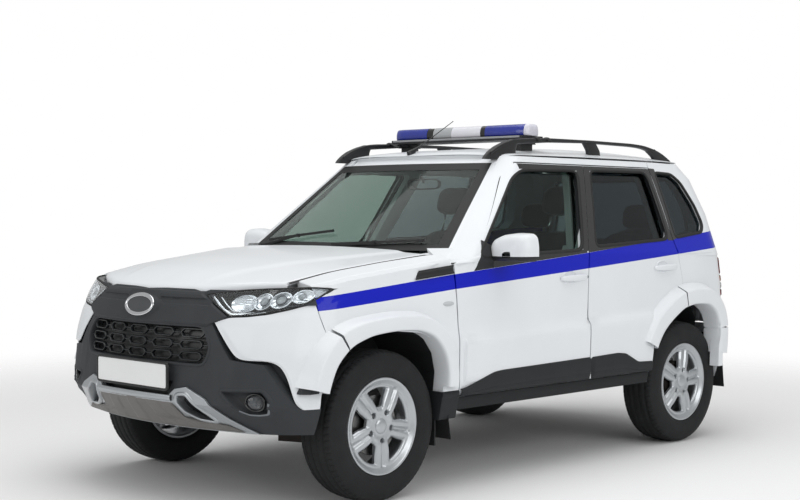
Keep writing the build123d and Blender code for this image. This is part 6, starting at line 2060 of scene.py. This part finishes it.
# %% Roof skin
ROOF_MID = ([1000, 1180, 1500, 1700, 2000, 2300, 2600, 2840],
            [1606, 1632, 1652, 1660, 1666, 1664, 1648, 1604])
ROOF_EDGE = ([1000, 1180, 1700, 2300, 2840], [1594, 1596, 1599, 1599, 1594])
plan_u = np.linspace(0, 356, 357)
rim = read_table(upper_xy, UPPER_Z, plan_u, np.full(357, 1590.0))
front_rim = np.concatenate([rim[64:0:-1] * (-1, 1), rim[:65]])
rear_rim = np.concatenate([rim[292:] * (-1, 1), rim[355:291:-1]])
side_rim = along(rim[64:293], 90)
plan = coons(along(front_rim, 101), along(rear_rim, 101), side_rim * (-1, 1), side_rim)
middle = np.array([0.0, 1920.0])
plan = middle + (plan - middle) * (0.992, 0.996)
x, y = plan[..., 0], plan[..., 1]
half = np.interp(y, side_rim[:, 1], side_rim[:, 0]) + 4
mid, edge = np.interp(y, *ROOF_MID), np.interp(y, *ROOF_EDGE)
crown = np.maximum(1 - np.abs(x / half) ** 2.8, 0)
swage = 2.5 * (smooth_step((np.abs(x) - 455) / 14) - smooth_step((np.abs(x) - 480) / 14))
swage = swage * smooth_step((y - 1200) / 60) * smooth_step((2700 - y) / 60)
ends = np.minimum(np.linspace(0, 1, 90), np.linspace(1, 0, 90))[:, None] * 1900
rolled = 9.0 * (1 - np.clip(ends / 24, 0, 1)) ** 2
z = edge + (mid - edge) * crown + 2.0 - swage - rolled
for _ in range(12):
    z[1:-1] = (z[:-2] + 2 * z[1:-1] + z[2:]) / 4
sheet("roof_skin", np.stack([x, y, z], -1), PAINT_PLAIN, "body", (0, 0, 1), wall=2.0, bevel=0.8)

# %% [markdown]
# ## Rear corner and tail
# The rear bumper, the tail lamps and the tail's skin use the same outline numbers as the side.

# %% Rear corner and tail
TAIL_END = 509          # the outline number at the middle of the tail
for side, sign in SIDES:
    s = np.linspace(0, 1, 86)[None]
    t = np.linspace(0, 1, 14)[:, None]
    top = 406 + 114 * smooth_step(s / 0.5)
    z = 348 + (top - 348) * t
    u0 = side_u(2806.0 + 0 * z, z)
    u = u0 + (TAIL_END - u0) * s
    rise = 1.5 + 4.0 * smooth_step(t / 0.08) * smooth_step((1 - t) / 0.10)
    sheet("rear_bumper_apron_" + side, skin_at(u, z, rise, sign), GRAINED, "body", (sign, 1.0, 0), wall=3.0,
          bevel=0.8)
    z = np.linspace(0, 1, 18)[:, None]
    z = top + 5 + (640 - top - 5) * z
    u0 = side_u(np.interp(z, [400, 480, 560, 640], [2806, 2796, 2780, 2760]), z)
    u = u0 + (TAIL_END - u0) * s
    step = 2.0 + 5.0 * smooth_step((z - 560) / 10) * smooth_step((628 - z) / 12)
    sheet("rear_bumper_skin_" + side, skin_at(u, z, step, sign), PAINT_PLAIN, "body", (sign, 1.0, 0),
          wall=3.0, bevel=0.8)
    for name, z0, z1, material in (("red", 944, 1046, RED_LENS), ("amber", 902, 941, AMBER_LENS),
                                   ("clear", 862, 899, LAMP_CLEAR), ("reflex", 818, 859, RED_LENS)):
        zz, uu = np.linspace(z0, z1, 12)[:, None], np.linspace(425, 474, 40)[None]
        e = np.minimum(np.minimum(zz - z0, z1 - zz), 8.0) / 8.0
        lens = skin_at(uu, zz, 3.0 + 6.0 * np.sqrt(np.maximum(e, 0)), sign)
        sheet("tail_lens_%s_%s" % (name, side), lens, material, "body", (sign, 1.0, 0), wall=2.5, bevel=0.5)
    fx, fz = np.linspace(642, 850, 24)[None], np.linspace(478, 284, 30)[:, None]
    flap = xyz(fx, 2818 + 22 * ((478 - fz) / 194) ** 1.6, fz)
    sheet("rear_mud_flap_" + side, flap * (sign, 1, 1), RUBBER, "body", (0, -1, 0), wall=5.0, bevel=1.0)
# tailgate seal, handle, high brake lamp and a thin black stripe
GATE_WINDOW = [(-520, 1130), (520, 1130), (462, 1440), (446, 1500), (-446, 1500), (-462, 1440)]


def tail_y(x, z):
    """The tail's surface: y at (x, z), above and below the belt."""
    x, z = np.broadcast_arrays(np.abs(np.asarray(x, float)), np.asarray(z, float))
    low = read_table(lower_xy, LOWER_Z, find_u(lower_xy, LOWER_Z, 0, x, np.minimum(z, 1196), 440, 510),
                     np.minimum(z, 1196))[..., 1]
    high = read_table(upper_xy, UPPER_Z, find_u(upper_xy, UPPER_Z, 0, x, np.maximum(z, 1056), 290, 356),
                      np.maximum(z, 1056))[..., 1]
    return np.where(z < 1062, low, high)


rings = [closed_ring(GATE_WINDOW, 200, 2.6, d) for d in (16.0, 14.0, 4.0, -4.0, -7.0)]
flat = np.stack(rings)
height = np.array([0.5, 3.0, 3.4, 1.0, -7.0])[:, None]
sheet("tailgate_seal", np.stack([flat[..., 0], tail_y(flat[..., 0], flat[..., 1]) + 2.0 + height,
                                 flat[..., 1]], -1), SEAL, "tailgate", (0, 1, 0), wall=2.0, close_cols=True)
TAIL_PARTS = [
    # name, x from, x to, z from, z to, how far it stands out, material
    ("tailgate_handle", -150, 150, 1076, 1110, 12.0, DARK_TRIM),
    ("high_brake_lamp", -150, 150, 1518, 1534, 9.0, RED_LENS),
    ("tailgate_stripe", -590, 590, 700, 704, 2.0, SEAL),
]
for name, x0, x1, z0, z1, out, material in TAIL_PARTS:
    xx, zz = np.linspace(x0, x1, 60)[None], np.linspace(z0, z1, 12)[:, None]
    e = np.clip(np.minimum(np.minimum(zz - z0, z1 - zz) / 6.0, np.minimum(xx - x0, x1 - xx) / 12.0), 0, 1)
    face = xyz(xx, tail_y(xx, zz) + 1.0 + out * np.sqrt(e), zz)
    sheet(name, face, material, "tailgate", (0, 1, 0), wall=3.0, bevel=0.5)
print("tail done")

# %% [markdown]
# ## Seats
# A car seat is foam under a sewn cover: each pad is a crowned form whose sides pull in
# between its corners, with channels sewn across its face and piping round its edge. The
# pads are superellipsoids bent to the seat's line, with the channels pressed in.

# %% Woven cloth


def woven_cloth(name, colour_a, colour_b, yarn_mm):
    """Seat cloth: two yarns crossing; sheen from loose fibres, and a bump of over and under."""
    material, tree, surface = shader(name, colour_a, 0.85, Sheen_Weight=0.35, Sheen_Roughness=0.5,
                                     Specular_IOR_Level=0.25)
    where = add(tree, "ShaderNodeTexCoord")
    waves = []
    for axis in ("X", "Y"):
        waves.append(add(tree, "ShaderNodeTexWave", {"Vector": (where, "UV")},
                         {"Scale": 1.0, "Distortion": 0.6, "Detail": 1.0}, bands_direction=axis))
    both = add(tree, "ShaderNodeMath", {0: (waves[0], "Fac"), 1: (waves[1], "Fac")}, operation="MULTIPLY")
    blend = add(tree, "ShaderNodeMix", {"Factor": (both, 0)}, data_type="RGBA")
    blend.inputs[6].default_value, blend.inputs[7].default_value = linear(colour_a), linear(colour_b)
    tree.links.new(blend.outputs[2], surface.inputs["Base Color"])
    bump = add(tree, "ShaderNodeBump", {"Height": (both, 0)}, {"Strength": 0.6, "Distance": yarn_mm * 0.0003})
    tree.links.new(bump.outputs[0], surface.inputs["Normal"])
    return material


CLOTH = woven_cloth("woven_seat_cloth_charcoal", "#1E1F21", "#34363A", 1.6)
CLOTH_SIDE = woven_cloth("woven_seat_cloth_bolster", "#141517", "#222427", 1.6)
YARN_MM = 1.6
SLOT_OF.update({CLOTH.name: "seat_cloth", CLOTH_SIDE.name: "seat_cloth"})


def pad(name, centre, along_axis, half, channels=(), body="body", material=None, stands_for=(),
        bolster=0.0, crown=8.0, power=4.0):
    """A stuffed pad: |u|^p + |v|^p + |w|^2.6 = 1 scaled by half sizes (across, along, thick), plus a
    crown over the
    middle of its face; sewn channels are narrow valleys across it, and bolsters raise its two sides."""
    centre, axis = np.array(centre, float), np.array(along_axis, float)
    axis /= np.linalg.norm(axis)
    across = np.array([1.0, 0, 0])
    thick = np.cross(across, axis)
    a = angles(144)[None]
    b = np.linspace(-math.pi / 2 * 0.999, math.pi / 2 * 0.999, 64)[:, None]

    cb, sb = bent(np.cos(b), 2 / 2.6), bent(np.sin(b), 2 / 2.6)
    u, v, w = cb * bent(np.cos(a), 2 / power), cb * bent(np.sin(a), 2 / power), sb + 0 * a
    pull = 1 - 0.035 * (1 - v ** 2)
    face = smooth_step((w - 0.1) / 0.6)
    lift = crown * (1 - u ** 2) * (1 - v ** 2) * face + bolster * smooth_step((np.abs(u) - 0.58) / 0.3) * face
    for way, place_at, width in channels:
        s = (u * half[0] if way == "across" else v * half[1]) - place_at
        lift = lift - 7.0 * np.exp(-(s / width) ** 2) * face
    # the edge seam: a shallow valley round the pad where the face meets the side
    lift_side_seam = 0.985 - 0.02 * np.exp(-((w - 0.35) / 0.06) ** 2)
    p = (centre + (u * half[0] * pull * lift_side_seam)[..., None] * across
         + (v * half[1] * lift_side_seam)[..., None] * axis + (w * half[2] + lift)[..., None] * thick)
    piece = joined_piece(name, [tube(p)], material or CLOTH, body, stands_for, weld=0.4)
    flat = piece.data.uv_layers.new(name="cloth")
    co = coordinates(piece.data)
    loops = np.empty(len(piece.data.loops), np.int32)
    piece.data.loops.foreach_get("vertex_index", loops)
    uv = np.stack([co[loops] @ across, co[loops] @ axis], -1) * 1000 / (YARN_MM * 2 * math.pi)
    flat.data.foreach_set("uv", uv.ravel().astype(np.float32))
    return piece


def rod(points, radius, count=14):
    """A round bar along a path of points."""
    path = np.array(points, float)
    d = np.gradient(path, axis=0)
    d /= np.linalg.norm(d, axis=1)[:, None]
    side = np.cross(d, (1.0, 0.2, 0.1))
    side /= np.linalg.norm(side, axis=1)[:, None]
    other = np.cross(d, side)
    a = angles(count)[None, :, None]
    ring = path[:, None] + radius * (np.cos(a) * side[:, None] + np.sin(a) * other[:, None])
    ends = [path[:1, None] + 0 * ring[:1], path[-1:, None] + 0 * ring[:1]]
    g = np.concatenate([ends[0], ring, ends[1]])
    return tube(g)


# %% [markdown]
# ## Front seats
# Each front seat has a cushion, a back and a head pad. They are padded pieces with crown and channels.

# %% Front seats
for side, sign in SIDES:
    x = 397.5 * sign
    pad("seat_cushion_" + side, (x, 1382, 624), (0, 1, 0.04), (238, 250, 62),
        (("across", -120, 6), ("across", 120, 6), ("along", -90, 6)),
        stands_for=("front_seats",) if sign > 0 else (), bolster=16.0)
    pad("seat_back_" + side, (x, 1728, 918), (0, -0.36, -0.93), (226, 296, 50),
        (("across", -112, 6), ("across", 112, 6), ("along", -60, 6), ("along", 110, 6)), bolster=18.0)
    pad("head_restraint_" + side, (x, 1850, 1366), (0, -0.24, -0.97), (132, 84, 40), crown=6.0,
        power=3.2, material=CLOTH_SIDE)
    joined_piece("headrest_posts_" + side,
                 [rod([(x + d, 1806, 1190), (x + d, 1826, 1250), (x + d, 1840, 1320)], 6.5)
                  for d in (-58, 58)], CHROME, "body")
    base = loft_tube([(x, y, 500) for y in (1204, 1210, 1590, 1596)],
                     [(150, 60), (176, 68), (176, 68), (150, 60)], 32, 6.0)
    joined_piece("seat_base_" + side, [tube(base)], DARK_TRIM, "body", weld=0.05, auto=50)
# rear bench: cushion and back in two parts, two head restraints
for k, (x, half) in enumerate(((-232, 340), (345, 228))):
    pad("bench_cushion_%d" % k, (x, 2272, 682), (0, 1, 0.03), (half, 220, 74),
        (("along", -60, 6), ("across", 0, 5)), stands_for=("rear_bench",) if k == 0 else ())
    pad("bench_back_%d" % k, (x, 2560, 960), (0, -0.3, -0.95), (half, 236, 48),
        (("along", 60, 6), ("across", 0, 5)))
for k, x in enumerate((-390, 390)):
    pad("bench_head_%d" % k, (x, 2630, 1278), (0, -0.2, -0.98), (126, 76, 34), crown=5.0, power=3.2,
        material=CLOTH_SIDE)
print("pads", 3 * 2 + 6)

# %% [markdown]
# ## Cabin
# Through the glass one sees the wheel, its column shroud, the dash roll and the mirror.

# %% Wheel and mirror
WHEEL_CENTRE, WHEEL_TILT = np.array([365.0, 1046.0, 952.0]), math.radians(24)
w_up = np.array([0, -math.sin(WHEEL_TILT), math.cos(WHEEL_TILT)])
w_out = np.array([0, math.cos(WHEEL_TILT), math.sin(WHEEL_TILT)])
a, b = angles(96)[:, None], angles(20)[None]
radius = 177 + 14.5 * np.cos(b)
ring = (WHEEL_CENTRE + (radius * np.cos(a))[..., None] * (1, 0, 0) + (radius * np.sin(a))[..., None] * w_up
        + (13.0 * np.sin(b) + 0 * a)[..., None] * w_out)
WHEEL_SKIN = moulded("wheel_rim_leather", "#151617", "#1E1F21", 0.5, 1.4, 0.05, Sheen_Weight=0.1)
SLOT_OF[WHEEL_SKIN.name] = "wheel_skin"
joined_piece("wheel_ring", [tube(ring, True)], WHEEL_SKIN, "steering_wheel", ("steering_wheel",))
spokes = []
for angle in (math.pi, 0.0, -math.pi / 2):
    direction = np.array([math.cos(angle), 0, 0]) + math.sin(angle) * w_up
    side = np.cross(direction, w_out)
    t = np.linspace(0, 1, 16)
    c = WHEEL_CENTRE + direction * (40 + 132 * t)[:, None] - w_out * (14 * (1 - t))[:, None]
    q = angles(20)[None, :, None]
    wide = (24 - 8 * np.sin(math.pi * t))[:, None, None]
    g = c[:, None] + wide * np.cos(q) * side + 6.0 * np.sin(q) * w_out
    g = np.concatenate([c[:1, None] + 0 * g[:1], g, c[-1:, None] + 0 * g[:1]])
    spokes.append(tube(g))
r, q = disc_grid(16, 60)
boss = (WHEEL_CENTRE + (64 * r * bent(np.cos(q), 0.7))[..., None] * (1, 0, 0)
        + (56 * r * bent(np.sin(q), 0.7))[..., None] * w_up
        + (-6 + 16 * (1 - r ** 3) - 22 * smooth_step((r - 0.9) / 0.1) + 0 * q)[..., None] * w_out)
spokes.append(tube(boss))
joined_piece("wheel_spokes", spokes, DARK_TRIM, "steering_wheel")
g = loft_tube([(0, 1140, 1452), (0, 1146, 1452), (0, 1160, 1452), (0, 1164, 1452)],
              [(112, 26), (120, 31), (118, 30), (104, 22)], 40, 3.4)
joined_piece("inner_mirror", [tube(g), rod([(0, 1128, 1500), (0, 1138, 1478), (0, 1150, 1460)], 7.0)],
             DARK_TRIM, "body", weld=0.05)
# windscreen's black ceramic border: a band inside each edge of the glass
for name, z0, z1 in (("top", 1520, 1556), ("bottom", 1116, 1146)):
    u, z = np.linspace(-58.0, 58.0, 101)[None], np.linspace(z0, z1, 8)[:, None]
    band = upper_at(np.abs(u), z, -1.5, np.where(u < 0, -1.0, 1.0))
    sheet("screen_border_" + name, band, SEAL, "body", (0, -1, 0.5), wall=0)
for side, sign in SIDES:
    u, z = np.linspace(53.5, 59.5, 8)[None], np.linspace(1116, 1556, 60)[:, None]
    sheet("screen_border_" + side, upper_at(u, z, -1.4, sign), SEAL, "body", (0, -1, 0.5), wall=0)
print("cabin done")


# %% [markdown]
# ## The rest of the solids
# Every node that no modelled piece stands for is shown as an eased copy of itself.

# %% Eased copies
for node, material, bevel in EASED:
    if node not in DRESSED:
        eased_copy(node, material, bevel)
print("eased copies", len([entry for entry in EASED if entry[0] not in DRESSED]))
